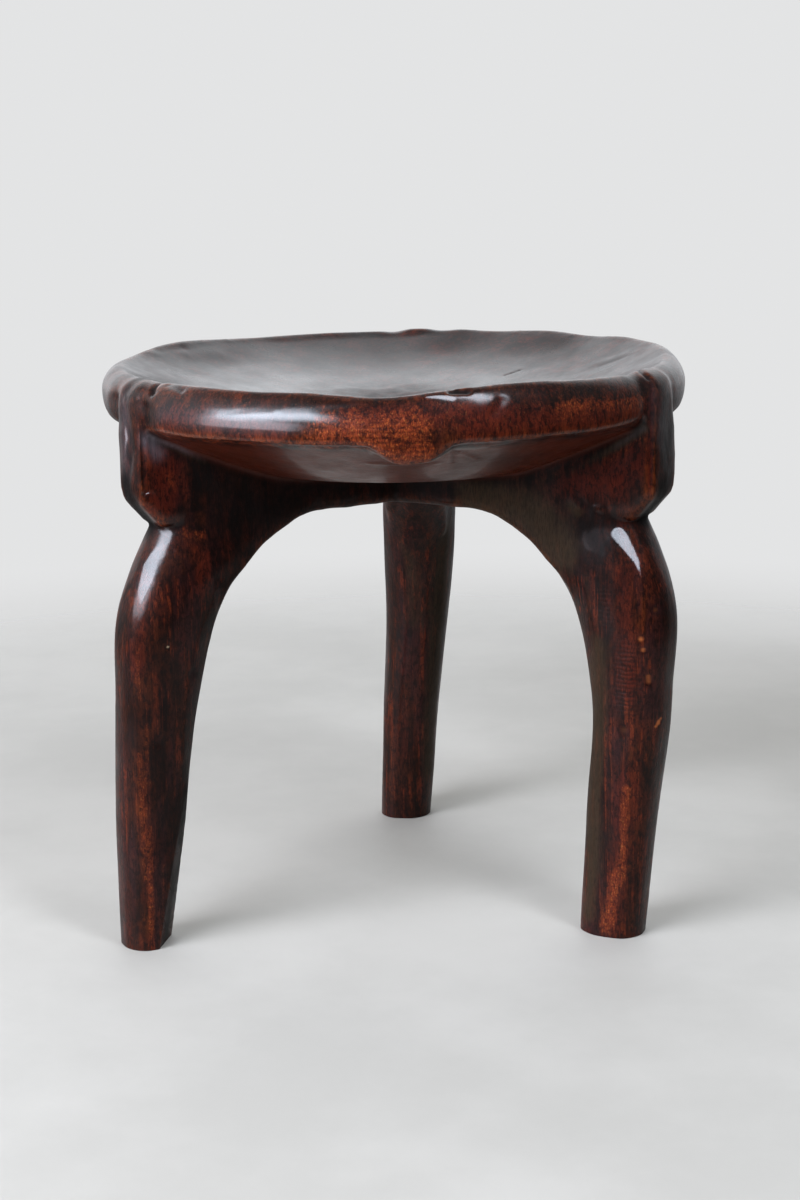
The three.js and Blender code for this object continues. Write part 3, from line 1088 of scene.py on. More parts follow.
def stains() -> Tuple[Mark, ...]:
    """Lists where the wood is worn warm, has kept its red, or has gone dull or black, and where shade and
    sheen are painted on it.

    Returns:
        The stains, which have no depth.
    """
    table = {
        Paint.WARM: (
            (9.5, 0.88, on_seat((258, 160, 292), (266, 160, 290), (273, 160, 293))),
            (5.5, 1.0, on_seat((266, 159, 285), (271, 159, 277), (275, 158, 279))),
            (5.5, 0.62, on_seat((301, 160, 297), (306.5, 160, 297.5))),
            (4.5, 0.6, on_seat((309, 160, 297), (313, 160, 296.5))),
            (5.0, 0.62, on_seat((316, 160, 295), (322, 160, 295))),
            (4.5, 0.42, on_seat((222, 156, 283), (240, 156, 283), (258, 156, 284))),
            (4.0, 0.5, left((146, 17, 258), (140, 17, 250))),
            (4.0, 0.55, left((140, 17, 229), (129, 18, 226))),
            (5.0, 0.42, right((158, -15, 279), (150, -15, 272), (136, -16, 262))),
            (4.5, 0.95, ((110.5, -85.5, 6), (113.5, -87, 22), (117.5, -89, 38))),
            (3.0, 0.8, ((118, -89.5, 42), (121, -91.4, 86))),
            (1.5, 0.5, ((-136.7, -95.9, 172), (-136.8, -95.9, 142))),
            (1.3, 0.45, ((-138.2, -96.2, 112), (-138.5, -96, 76), (-137.9, -95.3, 41))),
            (3.0, 0.35, left((158, 15, 200), (163, 15, 140), (166, 14, 60))),
            (2.0, 0.6, left((164, 14, 70), (165, 12, 10))),
            (1.6, 0.5, left((157, 14, 66), (158, 12, 10))),
        ),
        Paint.RED: (
            (8.0, 0.5, on_seat((224, 158, 292), (250, 160, 290))),
            (10.0, 0.75, on_seat((284, 160, 291), (305, 160, 290), (320, 160, 290))),
            # the rim's lower lip at the left front, redder and brighter: partly painted highlight
            (4.0, 0.7, on_seat((222, 157, 286), (245, 157, 286), (262, 157, 286))),
            (8.0, 0.8, on_seat((262, 159, 296), (290, 159, 298))),
            (10.0, 1.0, left((151, 16, 268), (146, 17, 252), (152, 15, 243))),
            (13.0, 0.85, right((152, -16, 264), (140, -16, 254), (122, -17, 250))),
            (9.0, 0.7, ((114, -88, 8), (122, -91.5, 92))),
            (9.0, 0.6, right((147, -21, 205), (150, -21, 140))),
            (6.0, 0.8, left((160, 11, 205), (165, 12, 160))),
            (6.0, 0.6, left((128, 20, 214), (134, 21, 196))),
        ),
        Paint.OLIVE: (
            (15.0, 0.95, right((60, -17, 238), (92, -18, 233), (112, -19, 214))),
            (3.2, 1.0, right((157, -15, 280), (139, -15, 268), (120, -16, 257), (100, -16, 250))),
            (2.0, 1.0, left((154, 15, 279), (139, 15, 272), (127, 16, 265), (114, 16, 259))),
            (9.0, 0.9, rear((124, -16, 190), (128, -12, 110), (133, -4, 30))),
            (9.0, 0.5, rear((118, 6, 200), (122, 4, 130))),
            (6.0, 0.8, right((124, -16, 150), (126, -14, 90), (131, -15, 40))),
            (7.0, 0.85, ((109, -84, 165), (107, -82, 120), (104, -80, 70), (101, -79, 12))),
        ),
        # Soot and painted shade: most rows paint near black where shade falls, on the hub and under the arms,
        # in the creases beside the arms and under the shoulders, on the lugs' downward chamfers, on the left
        # foot's cut flat and under the bowl; the rest are dark stains.
        Paint.SOOT_AND_SHADE: (
            (19.0, 1.0, left((30, 0, 236), (100, 14, 236))),
            (8.0, 0.8, left((112, 14, 246), (126, 16, 256))),
            (8.0, 0.6, left((104, 14, 210), (124, 13, 172), (135, 12, 110), (148, 8, 30))),
            (20.0, 0.85, ((0, 0, 236), (20, -14, 236))),
            (19.0, 0.6, rear((20, 0, 236), (110, 0, 236))),
            (8.0, 0.3, ((-128, -95, 172), (-129.5, -95, 60))),
            (2.6, 0.6, left((156, 17, 281), (139, 16, 269), (127, 16, 262), (100, 16, 252))),
            (2.8, 0.9, right((120, -16, 258.5), (92, -16, 250), (60, -16, 246))),
            (9.0, 0.45, right((163, -2, 300), (163, 0, 250))),
            (3.0, 0.5, left((150, 17, 232), (140, 17, 231))),
            (3.0, 0.7, right((156, -15, 233), (136, -17, 232))),
            (9.5, 1.0, ((-140, -79, 251), (-136, -79.5, 242), (-131, -74.5, 233)), 4.0),
            (8.5, 1.0, ((140, -84, 247), (135.5, -81, 238), (130.5, -77.5, 232)), 4.0),
            (8.5, 0.85, ((99, -80.5, 226), (106, -86, 216))),
            (9.5, 0.95, ((-125, -82, 6), (-121.5, -80, 45), (-119, -80, 84)), 3.0),
            (6.0, 0.6, ((-132, -74.5, 308), (-137.5, -77.8, 305))),
            (12.0, 0.4, ((24, -90, 255), (42, -124.8, 270.9), (60, -108, 267))),
        ),
        # Painted sheen: pale mauve painted where soft reflections show, along the creases beside the arms, on
        # the left shoulder, on the lugs' end faces and on the front rim below its highlight.
        Paint.BLOOM: (
            (1.2, 0.5, left((156, 15, 280.5), (139, 16, 273), (127, 16, 266.5), (114, 16, 261))),
            (1.6, 0.4, right((157, -15, 280), (139, -15, 268), (120, -16, 257), (104, -16, 251))),
            (4.0, 0.75, ((-126.3, -91.2, 277.5), (-122.5, -90, 271))),
            (7.0, 0.22, ((-140, -80, 296), (-141.5, -78.5, 266))),
            (6.0, 0.16, ((134.5, -91.2, 297), (136.5, -90.5, 276))),
            (5.0, 0.22, on_seat((222, 158, 293), (238, 159, 293), (250, 160, 294))),
        ),
        Paint.CHATTER: (
            (7.0, 0.9, right((151, -20.5, 160), (151, -20.5, 134))),
            (5.0, 0.35, right((138, -21, 192), (140, -21, 176))),
            (8.0, 0.7, on_seat((266, 160, 288), (274, 160, 284))),
        ),
        Paint.SHINE: (
            (8.0, 0.9, left((150, 15, 228), (158, 13, 205), (161, 13, 192))),
            (9.0, 0.7, left((161, 6, 298), (162, 2, 276), (161, 4, 258))),
            (8.0, 0.9, right((141, -16, 226), (153, -15, 204))),
            (9.0, 0.9, on_seat((214, 158, 302), (240, 158, 301), (262, 158, 304))),
            (6.0, 1.0, on_seat((272, 156, 305), (300, 156, 305), (318, 156, 305))),
            (10.0, 0.6, on_seat((204, 158, 297), (185, 159, 296), (165, 159, 296))),
        ),
    }
    return tuple(
        Mark(path, width, 0.0, paint, strength, *power)
        for paint, rows in table.items()
        for width, strength, path, *power in rows
    )


def gleams() -> Tuple[Gleam, ...]:
    """Lists the strokes on the knees, the rim and the left shoulder that shine from the front.

    Returns:
        The strokes.
    """
    on_left, on_right, on_edge = (-0.32, -0.85, 0.42), (-0.42, -0.83, 0.37), (-0.33, -0.85, 0.41)
    left_knee = (
        (-119.9, -82.9, 229.6), (-121, -84.5, 225), (-124.1, -85.9, 220), (-127.2, -86.4, 215.9),
        (-129.6, -87.7, 210.9), (-130.8, -89.8, 204.9), (-132.8, -91.1, 198.8), (-134, -92.6, 192.8),
    )
    right_knee = ((116.2, -86.3, 224), (121.2, -89, 216.4), (125.5, -90.9, 209.2), (127.3, -92.8, 202.1))
    beside_it = ((121.6, -86.5, 223.3), (125.4, -88.6, 215.6), (129.3, -90.3, 207.5))
    rim_end = ((-88, -132.5, 296), (-74, -140, 298.5), (-60, -146.5, 300))
    rim_left = ((-53, -148.6, 300.2), (-26.7, -153.2, 302.2), (-9.2, -152.8, 303.7))
    rim_right = ((16, -151.9, 306.2), (21.9, -151.9, 306), (28.5, -152, 305))
    lug_end = ((-139.5, -82, 299), (-141, -81.5, 288), (-139.5, -82.5, 278), (-141.5, -78.5, 266))
    return (
        Gleam(left_knee, (2.0, 2.2, 1.2, 2.6, 4.2, 4.0, 2.8, 1.0), on_left),
        Gleam(right_knee, (3.6, 2.7, 1.7, 0.3), on_right, 0.9, 1.0),
        Gleam(beside_it, (3.0, 3.2, 1.2), on_right, 0.5, 3.0),
        Gleam(rim_end, (0.6, 1.4, 1.4), (-0.27, -0.80, 0.50), 0.4),
        Gleam(rim_left, (2.0, 1.3, 0.5), (-0.30, -0.86, 0.41), 0.58),
        Gleam(rim_right, (0.8, 1.2, 1.3), (0.21, -0.81, 0.545), 0.85),
        Gleam(lug_end, (1.0, 1.8, 2.2, 1.2), on_left, 0.72, 2.2),
        Gleam(((-128.6, -92.3, 279.5), (-129.3, -92, 253)), (0.5, 0.3), on_edge, 0.6, 0.8),
        Gleam(((-129.8, -91.6, 250), (-127, -91.8, 251.2)), (0.8, 0.9), on_edge, 0.95, 0.8),
    )


@dataclass
class Carving:
    """The whole stool, from its blanks to the finished block.

    A pair that is called a fade tells where something sets in and where it has reached its whole.

    Attributes:
        seat: The seat's blank.
        limbs: The blanks of the arms and legs.
        grain: Size of the facets that the block's skin is made of.
        smoothing: Rounds of smoothing before and after the scoops.
        uneven: The unevenness of the whole skin.
        dish_uneven: The unevenness of the sitting surface.
        long_cuts: The blade's scoops on the legs.
        short_cuts: The blade's scoops on the arms.
        leg_fade: Heights over which the long scoops give way to the short ones.
        dish_spared: Shares of the unevenness and of the scoops that the sitting surface is spared.
        rim_spared: Share of the scoops that the rim and the bowl are spared.
        rim_fade: Height above and below its lower edge over which the rim's face sets in.
        dish_fade: Distances from the crest over which the sitting surface ends.
        bowl_skin: Heights over the bowl's outline where its underside sets in, is whole and ends.
        bowl_fade: Distances from the seat axis over which the bowl's underside ends.
        neck_over_arch: Fade of the neck's rubbing over the edge of the arch.
        neck_reach: Fades where this rubbing sets in and where it ends, by reach.
        neck_height: Fades where it sets in and where it ends, by height.
        neck_half_width: How far it goes to each side.
        neck_rounds: How long the neck is rubbed.
        lug_crease: Width of the crease beside a lug that is rubbed down.
        lug_height: Fade of this rubbing by height.
        lug_reach: Fade of this rubbing by reach.
        lug_rub: Strength of this rubbing.
        lug_rounds: How long the crease is rubbed.
        face_depth: Fade of the lug's rounded face, from its outermost reach.
        face_height: Fades where the rounded face sets in and where it ends, by height.
        face_crown: How far the face is raised in its middle and sunk at its edges.
        foot_cut: Two places, from the seat axis, on the flat at the left foot's inner front corner.
        foot_cut_lean: How far the flat leans outwards for each millimetre of height.
        foot_cut_top: Height at which the flat ends.
        foot_cut_reach: How far along and across the flat its cut goes.
        margin: How far the block stays inside the solid model's box.
        evening: Rounds of evening out by which small and large forms are told.
        worn: How much small and large forms that stand out are worn, for each millimetre.
        hollow_darkening: How much dirt and painted shade small and large hollows take, for each millimetre.
        dish_clean: Share of wear, dirt and painted shade that the sitting surface is spared.
        sat_on: Middle of the place that is sat on most, from the seat axis.
        sat_narrow: Length of this place from front to back counts by this share.
        sat_fade: Distances from its middle over which it ends.
        marks: Values for each point of the block, by the name of what they show.
    """

    seat: SeatBlank
    limbs: Tuple[LimbBlank, ...]
    grain: float = 1.25
    smoothing: Tuple[int, int] = (3, 2)
    uneven: Unevenness = Unevenness(3, (38.0, 38.0, 60.0), 0.55)
    dish_uneven: Unevenness = Unevenness(5, (62.0, 62.0, 40.0), 0.8)
    long_cuts: ToolCuts = ToolCuts(11, 62, 0.8, 11)
    short_cuts: ToolCuts = ToolCuts(14, 20, 0.8, 23)
    leg_fade: Pair = (205.0, 235.0)
    dish_spared: Pair = (0.7, 0.95)
    rim_spared: float = 0.85
    rim_fade: float = 4.0
    dish_fade: Pair = (-8.0, 3.0)
    bowl_skin: Triple = (-5.0, -1.0, 12.0)
    bowl_fade: Pair = (148.0, 155.0)
    neck_over_arch: Pair = (3.0, 9.0)
    neck_reach: Tuple[Pair, Pair] = ((76.0, 92.0), (119.0, 131.0))
    neck_height: Tuple[Pair, Pair] = ((168.0, 186.0), (240.0, 252.0))
    neck_half_width: float = 30.0
    neck_rounds: int = 90
    lug_crease: float = 6.0
    lug_height: Pair = (276.0, 292.0)
    lug_reach: Pair = (138.0, 150.0)
    lug_rub: float = 0.9
    lug_rounds: int = 60
    face_depth: Pair = (-5.0, -1.0)
    face_height: Tuple[Pair, Pair] = ((240.0, 262.0), (296.0, 306.0))
    face_crown: Pair = (0.3, 1.6)
    foot_cut: Tuple[Pair, Pair] = ((-132.4, -92.5), (-126.0, -62.1))
    foot_cut_lean: float = 0.17
    foot_cut_top: float = 90.0
    foot_cut_reach: Pair = (60.0, 40.0)
    margin: float = 0.02
    evening: Tuple[int, int] = (8, 60)
    worn: Pair = (1.3, 0.12)
    hollow_darkening: Pair = (2.0, 0.4)
    dish_clean: float = 0.8
    sat_on: float = -12.0
    sat_narrow: float = 0.35
    sat_fade: Pair = (45.0, 125.0)
    marks: Dict[str, np.ndarray] = field(default_factory=dict)

    def fuse(self) -> bpy.types.Object:
        """Joins the blanks into one closed block.

        Returns:
            The block.
        """
        joined = bmesh.new()
        forms = [self.seat.build()]
        for limb in self.limbs:
            forms += [limb.build_arm(), limb.build_leg()]
        for form in forms:
            part = bpy.data.meshes.new("blank")
            form.to_mesh(part)
            form.free()
            joined.from_mesh(part)
            bpy.data.meshes.remove(part)
        block = mesh_of("block", joined)
        remesh = block.modifiers.new("fuse", "REMESH")
        remesh.mode = "VOXEL"
        remesh.voxel_size = self.grain
        return settled(block)

    def cut(self, block: Block) -> None:
        """Gives the block its tool marks, dents and worn edges.

        Args:
            block: The block that is cut.
        """
        before, after = self.smoothing
        block.smooth(before)
        for limb in self.limbs:
            self.run_together(block, limb)
            self.soften_lug(block, limb)
        dish, rim = self.areas(block.points)
        spared_hills, spared_cuts = self.dish_spared
        outside = np.maximum(rim, self.bowl_area(block.points))
        calm = np.maximum(spared_cuts * dish, self.rim_spared * outside)
        legs = 1.0 - ease(block.points[:, 2], *self.leg_fade)
        block.push(self.uneven.rise(block.points) * (1 - spared_hills * dish))
        block.push(self.dish_uneven.rise(block.points) * dish)
        cuts = self.long_cuts.height(block.points) * legs
        cuts += self.short_cuts.height(block.points) * (1 - legs)
        block.push(cuts * (1 - calm))
        block.smooth(after)
        self.trim_foot(block)
        amount = np.zeros(len(block.points))
        for item in cut_marks():
            rows, share = item.share(block.points - SEAT_AXIS)
            amount[rows] -= share * item.depth
        block.push(amount)

    def areas(self, points: np.ndarray) -> Tuple[np.ndarray, np.ndarray]:
        """Tells the sitting surface and the rim's face from the rest.

        Args:
            points: Points of the block.

        Returns:
            How far each point belongs to the one and to the other, from 0 to 1.
        """
        radius = round_by_turn(points)[1]
        edge = self.seat.rim_bottom
        top = ease(points[:, 2], edge - self.rim_fade, edge + self.rim_fade)
        inner, outer = (self.seat.crest_radius + step for step in self.dish_fade)
        dish = top * (1.0 - ease(radius, inner, outer))
        return dish, top - dish

    def bowl_area(self, points: np.ndarray) -> np.ndarray:
        """Tells the underside of the bowl from the rest.

        Args:
            points: Points of the block.

        Returns:
            How far each point belongs to it, from 0 to 1.
        """
        radius = round_by_turn(points)[1]
        outline = self.seat.bowl_outline()
        above = points[:, 2] - np.interp(radius, outline[:, 0], outline[:, 1])
        start, whole, end = self.bowl_skin
        return ease(above, start, whole) * (1.0 - ease(radius, *self.bowl_fade)) * (above < end)

    def run_together(self, block: Block, limb: LimbBlank) -> None:
        """Lets the inner part of the neck flow from the arm into the leg.

        Args:
            block: The block that is cut.
            limb: The limb whose neck it is.
        """
        reach, side, height = limb.inside(block.points).T
        above = height - limb.arch_height(reach)
        (near, far), (low, high) = self.neck_reach, self.neck_height
        share = ease(above, *self.neck_over_arch) * (1 - ease(reach, *far)) * ease(reach, *near)
        share *= (1 - ease(height, *high)) * ease(height, *low) * (np.abs(side) < self.neck_half_width)
        block.blend_in(share, self.neck_rounds)

    def soften_lug(self, block: Block, limb: LimbBlank) -> None:
        """Rubs the lug down into the rim that it runs over, and rounds its face.

        Args:
            block: The block that is cut.
            limb: The limb whose lug it is.
        """
        reach, side, height = limb.inside(block.points).T
        edge = np.exp(-(((np.abs(side) - limb.lug_half_width) / self.lug_crease) ** 2))
        share = edge * ease(height, *self.lug_height) * ease(reach, *self.lug_reach)
        block.blend_in(share * self.lug_rub, self.lug_rounds)
        inner, outer = (limb.reach + step for step in self.face_depth)
        low, high = self.face_height
        face = ease(reach, inner, outer) * ease(height, *low)
        face *= 1 - ease(height, *high)
        raised, sunk = self.face_crown
        block.push(face * (raised - sunk * np.clip(np.abs(side) / limb.lug_half_width, 0, 1.2) ** 3))

    def trim_foot(self, block: Block) -> None:
        """Cuts a flat down the inner front corner of the left foot.

        Args:
            block: The block that is cut.
        """
        start, end = (np.array(spot) for spot in self.foot_cut)
        run = (end - start) / np.linalg.norm(end - start)
        outward = np.array([run[1], -run[0]])
        rel = block.points[:, :2] - SEAT_AXIS[:2] - start
        beyond = rel @ outward - self.foot_cut_lean * np.maximum(block.points[:, 2], 0.0)
        along, across = self.foot_cut_reach
        here = (np.abs(rel @ run) < along) & (np.abs(beyond) < across)
        here &= block.points[:, 2] < self.foot_cut_top
        amount = np.where(here, np.maximum(beyond, 0.0), 0.0)
        shift = np.zeros_like(block.points)
        shift[:, :2] = -amount[:, None] * outward
        block.pull(shift)

    def mark(self, block: Block) -> None:
        """Works out where the wood is worn, dirty or stained, and where shade and sheen are painted on it.

        Args:
            block: The block, already cut.
        """
        fine, broad = (block.bulge(rounds) for rounds in self.evening)
        dish, rim = self.areas(block.points)
        calm = 1 - self.dish_clean * dish
        (by_fine, by_broad), (in_fine, in_broad) = self.worn, self.hollow_darkening
        self.marks["wear"] = np.clip(fine * by_fine + broad * by_broad, 0.0, 1.0) * calm
        # darker in hollows: dirt, and painted shade where shade falls
        self.marks["grime_and_shade"] = np.clip(-fine * in_fine - broad * in_broad, 0.0, 1.0) * calm
        self.marks["dish"] = dish
        self.marks["rim"] = rim
        rel = block.points - SEAT_AXIS
        from_sat_on = np.hypot(rel[:, 0] - self.sat_on, rel[:, 1] * self.sat_narrow)
        self.marks["sat"] = dish * (1 - ease(from_sat_on, *self.sat_fade))
        self.marks["bowl"] = self.bowl_area(block.points)
        for paint in Paint:
            self.marks[paint.value] = np.zeros(len(block.points))
        for item in cut_marks() + stains():
            if item.paint:
                rows, share = item.share(block.points - SEAT_AXIS)
                layer = self.marks[item.paint.value]
                layer[rows] = 1 - (1 - layer[rows]) * (1 - share * item.strength)

    def build(self) -> Block:
        """Makes the finished block.

        Returns:
            The block, with its marks worked out.
        """
        block = Block(self.fuse())
        self.cut(block)
        self.hold_in(block)
        self.mark(block)
        return block

    def hold_in(self, block: Block) -> None:
        """Keeps the block inside the solid model's outer sizes.

        Args:
            block: The block, already cut.
        """
        low, high = (np.array(corner) / MM for corner in CAD_BOX)
        low[2] = BELOW_ALL
        block.points = np.clip(block.points, low + self.margin, high - self.margin)


@dataclass(frozen=True)
class Parting:
    """Cuts the block into the regions of the solid model.

    Attributes:
        seat: The seat's blank.
        limbs: The blanks of the arms and legs.
        lower: How far below the bowl's skin the seat ends.
        bowl_edge: Distance from the seat axis up to which the seat ends along the bowl's skin.
        far: Distance from the seat axis that is outside the whole stool.
        floor_line: Height below the whole stool.
        steps_round: How many steps the space below the bowl has around.
        beyond: Distance from the seat axis that is outside every other space.
        deep: Height below every other space.
        hub_drop: How far below the bowl the space that the arms share ends.
        leg_run: Reach between which a leg lies.
        leg_room: Width of the space of a leg.
        lane: Half width and height range of the space that holds an arm above the others.
        lane_start: Reach at which this space begins.
        slab: Half width and top of what is cut away with a leg, below its foot.
        wedge: Length, lower end and height of the space of an arm.
    """

    seat: SeatBlank
    limbs: Tuple[LimbBlank, ...]
    lower: float = 1.5
    bowl_edge: float = 149.0
    far: float = 190.0
    floor_line: float = -30.0
    steps_round: int = 144
    beyond: float = 200.0
    deep: float = -40.0
    hub_drop: float = 14.0
    leg_run: Pair = (60.0, 205.0)
    leg_room: float = 120.0
    lane: Triple = (25.0, 150.0, 300.0)
    lane_start: float = -6.0
    slab: Pair = (60.0, 5.0)
    wedge: Triple = (400.0, 100.0, 250.0)

    def under_seat(self) -> bpy.types.Object:
        """Makes the space of the arms and legs, below the bowl.

        Returns:
            The space as a closed solid.
        """
        skin = self.seat.bowl_outline() - np.array([0.0, self.lower])
        skin = skin[skin[:, 0] < self.bowl_edge]
        rim = self.seat.rim_bottom
        edge = [(self.far, rim), (self.bowl_edge + 1.0, rim)]
        rows = [(0.0, self.floor_line), (self.far, self.floor_line), *edge, *skin[::-1].tolist()]
        below = mesh_of("below", turned(rows, self.steps_round))
        wide, top = self.beyond, self.seat.bowl_bottom - self.hub_drop
        lanes = self.box("lanes", (-wide, -wide, self.deep), (wide, wide, top))
        side, low, high = self.lane
        for limb in self.limbs:
            lane = self.box("lane", (self.lane_start, -side, low), (wide, side, high), limb)
            combine(lanes, lane, "UNION")
            scrap(lane)
        combine(below, lanes, "INTERSECT")
        scrap(lanes)
        return below

    @staticmethod
    def box(name: str, low: Triple, high: Triple, limb: Optional[LimbBlank] = None) -> bpy.types.Object:
        """Makes a box between two corners.

        Args:
            name: The object's name.
            low: The corner with the lowest numbers.
            high: The corner opposite.
            limb: The limb in the plane of whose arm the corners are given, if not in space.

        Returns:
            The box.
        """
        form = bmesh.new()
        bmesh.ops.create_cube(form, size=1.0)
        for vert in form.verts:
            spot = [low[i] + (high[i] - low[i]) * (vert.co[i] + 0.5) for i in range(3)]
            vert.co = limb.out(*spot) if limb else spot
        bmesh.ops.recalc_face_normals(form, faces=form.faces[:])
        return mesh_of(name, form)

    def leg_space(self, limb: LimbBlank) -> bpy.types.Object:
        """Makes the space of one leg, from the floor up to the plane of the neck.

        Args:
            limb: The limb whose leg it is.

        Returns:
            The space as a closed solid.
        """
        inner, outer = limb.neck_inner, limb.neck_outer
        slope = (outer[1] - inner[1]) / (outer[0] - inner[0])
        form = bmesh.new()
        bmesh.ops.create_cube(form, size=1.0)
        for vert in form.verts:
            reach = self.leg_run[0] if vert.co.x < 0 else self.leg_run[1]
            height = 0.0 if vert.co.z < 0 else inner[1] + slope * (reach - inner[0])
            vert.co = limb.out(reach, vert.co.y * self.leg_room, height)
        bmesh.ops.recalc_face_normals(form, faces=form.faces[:])
        return mesh_of("leg_space", form)

    def arm_space(self, number: int) -> bpy.types.Object:
        """Makes the upright wedge of space of one arm, between its two neighbours.

        Args:
            number: Which of the limbs it is.

        Returns:
            The space as a closed solid.
        """
        own, after, before = (self.limbs[(number + step) % 3].azimuth for step in range(3))
        ahead = (after - own) % 360.0 / 2
        behind = (own - before) % 360.0 / 2
        turns = (own - behind, own - behind / 2, own, own + ahead / 2, own + ahead)
        length, low, height = self.wedge
        corners = [(0.0, 0.0)] + [(length * c, length * s) for c, s in map(compass, turns)]
        form = bmesh.new()
        face = form.faces.new([form.verts.new(SEAT_AXIS + (x, y, low)) for x, y in corners])
        raised = bmesh.ops.extrude_face_region(form, geom=[face])["geom"]
        moved = [item for item in raised if isinstance(item, bmesh.types.BMVert)]
        bmesh.ops.translate(form, verts=moved, vec=(0.0, 0.0, height))
        bmesh.ops.recalc_face_normals(form, faces=form.faces[:])
        return mesh_of("arm_space", form)

    def part(self, block: bpy.types.Object) -> Dict[str, bpy.types.Object]:
        """Cuts the block into its seven regions.

        Args:
            block: The finished block.

        Returns:
            The regions under the names of the solid model's nodes.
        """
        def region(name: str, whole: bpy.types.Object, tool: bpy.types.Object, how: str) -> bpy.types.Object:
            """Cuts a region out of a twin of the whole.

            Args:
                name: The region's name.
                whole: What it is cut from, which stays.
                tool: The space that is cut away or kept.
                how: DIFFERENCE or INTERSECT.

            Returns:
                The region.
            """
            made = twin(whole, name)
            combine(made, tool, how)
            return made

        below = self.under_seat()
        regions = {"seat": region("seat", block, below, "DIFFERENCE")}
        under = region("under", block, below, "INTERSECT")
        scrap(below)
        low, high = self.leg_run
        side, top = self.slab
        for limb in self.limbs:
            space = self.leg_space(limb)
            name = f"{limb.limb.value}_leg"
            regions[name] = region(name, under, space, "INTERSECT")
            slab = self.box("slab", (low, -side, self.deep), (high, side, top), limb)
            combine(space, slab, "UNION")
            combine(under, space, "DIFFERENCE")
            scrap(space, slab)
        for number, limb in enumerate(self.limbs):
            space = self.arm_space(number)
            name = f"{limb.limb.value}_arm"
            regions[name] = region(name, under, space, "INTERSECT")
            scrap(space)
        scrap(under)
        return regions


class Skin:
    """Thins the block's mesh, and carries its smooth shading and marks to the parted regions."""

    def __init__(self, block: Block, marks: Dict[str, np.ndarray], keep: float) -> None:
        """Thins the block and looks up what its points were like.

        Args:
            block: The block, before it is parted.
            marks: Values for each of its points.
            keep: Share of its facets that are kept.
        """
        normals = block.normals
        dense = sorted_for_search(block.points)
        self.body = twin(block.done(), "thinned")
        thin = self.body.modifiers.new("thin", "DECIMATE")
        thin.ratio = keep
        settled(self.body)
        mesh = self.body.data
        self.points = np.array([tuple(vert.co) for vert in mesh.vertices])
        near = [dense.find_n(point, NEAREST) for point in self.points]
        rows = np.array([[item[1] for item in group] for group in near])
        share = 1.0 / (np.array([[item[2] for item in group] for group in near]) + NEAREST_SPREAD)
        share /= share.sum(axis=1, keepdims=True)
        self.normals = np.einsum("ij,ijk->ik", share, normals[rows])
        for gleam in gleams():
            self.normals = gleam.turn(self.points - SEAT_AXIS, self.normals)
        self.marks = {name: np.einsum("ij,ij->i", share, values[rows]) for name, values in marks.items()}
        self.tree = sorted_for_search(self.points)
        mesh.calc_loop_triangles()
        self.corners = read(mesh.loop_triangles, "vertices", 3, np.int32)
        self.skin = BVHTree.FromPolygons(self.points.tolist(), self.corners.tolist())

    def blend(self, spot: Sequence[float]) -> Tuple[np.ndarray, np.ndarray]:
        """Finds the three points of the block round a spot on its skin.

        Args:
            spot: The spot.

        Returns:
            Their numbers, and how much of each the spot takes.
        """
        near, _, number, _ = self.skin.find_nearest(spot)
        rows = self.corners[number]
        a, b, c = self.points[rows]
        u, v, w = b - a, c - a, np.array(near) - a
        uu, uv, vv, wu, wv = u @ u, u @ v, v @ v, w @ u, w @ v
        depth = max(uu * vv - uv * uv, TINY)
        s, t = (vv * wu - uv * wv) / depth, (uu * wv - uv * wu) / depth
        return rows, np.clip([1 - s - t, s, t], 0.0, 1.0)

    def dress(self, region: bpy.types.Object) -> None:
        """Gives a region the block's shading and marks, and leaves its cut faces flat.

        Args:
            region: The region, parted from the thinned block.
        """
        mesh = region.data
        spots = read(mesh.vertices, "co", 3)
        found = [self.tree.find(spot) for spot in spots]
        rows = np.array([item[1] for item in found])
        fresh = np.array([item[2] for item in found]) > MERGED
        normals = self.normals[rows]
        marks = {name: values[rows] for name, values in self.marks.items()}
        for vert in np.nonzero(fresh)[0]:
            near, shares = self.blend(spots[vert])
            normals[vert] = shares @ self.normals[near]
            for name, values in self.marks.items():
                marks[name][vert] = shares @ values[near]
        normals /= np.linalg.norm(normals, axis=1, keepdims=True) + TINY
        self._shade(mesh, normals, fresh)
        for name, values in marks.items():
            layer = mesh.attributes.new(name, "FLOAT", "POINT")
            layer.data.foreach_set("value", values.astype(np.float32))

    @staticmethod
    def _shade(mesh: bpy.types.Mesh, normals: np.ndarray, fresh: np.ndarray) -> None:
        """Sets the direction that each face corner is shaded by.

        Args:
            mesh: The region's mesh.
            normals: The block's direction at each point.
            fresh: Whether the point came from a cut.
        """
        corner = read(mesh.loops, "vertex_index", kind=np.int32)
        sizes = read(mesh.polygons, "loop_total", kind=np.int32)
        owner = np.repeat(np.arange(len(sizes)), sizes)
        flat = read(mesh.polygons, "normal", 3)[owner]
        own = normals[corner]
        starts = np.concatenate([[0], np.cumsum(sizes)[:-1]])
        all_fresh = np.minimum.reduceat(fresh[corner].astype(int), starts)[owner] == 1
        turned_away = np.einsum("ij,ij->i", own, flat) < SAME_WAY
        turned_away = np.maximum.reduceat(turned_away.astype(int), starts)[owner] == 1
        own = np.where((all_fresh & turned_away)[:, None], flat, own)
        mesh.polygons.foreach_set("use_smooth", np.ones(len(sizes), bool))
        mesh.normals_split_custom_set(own.tolist())


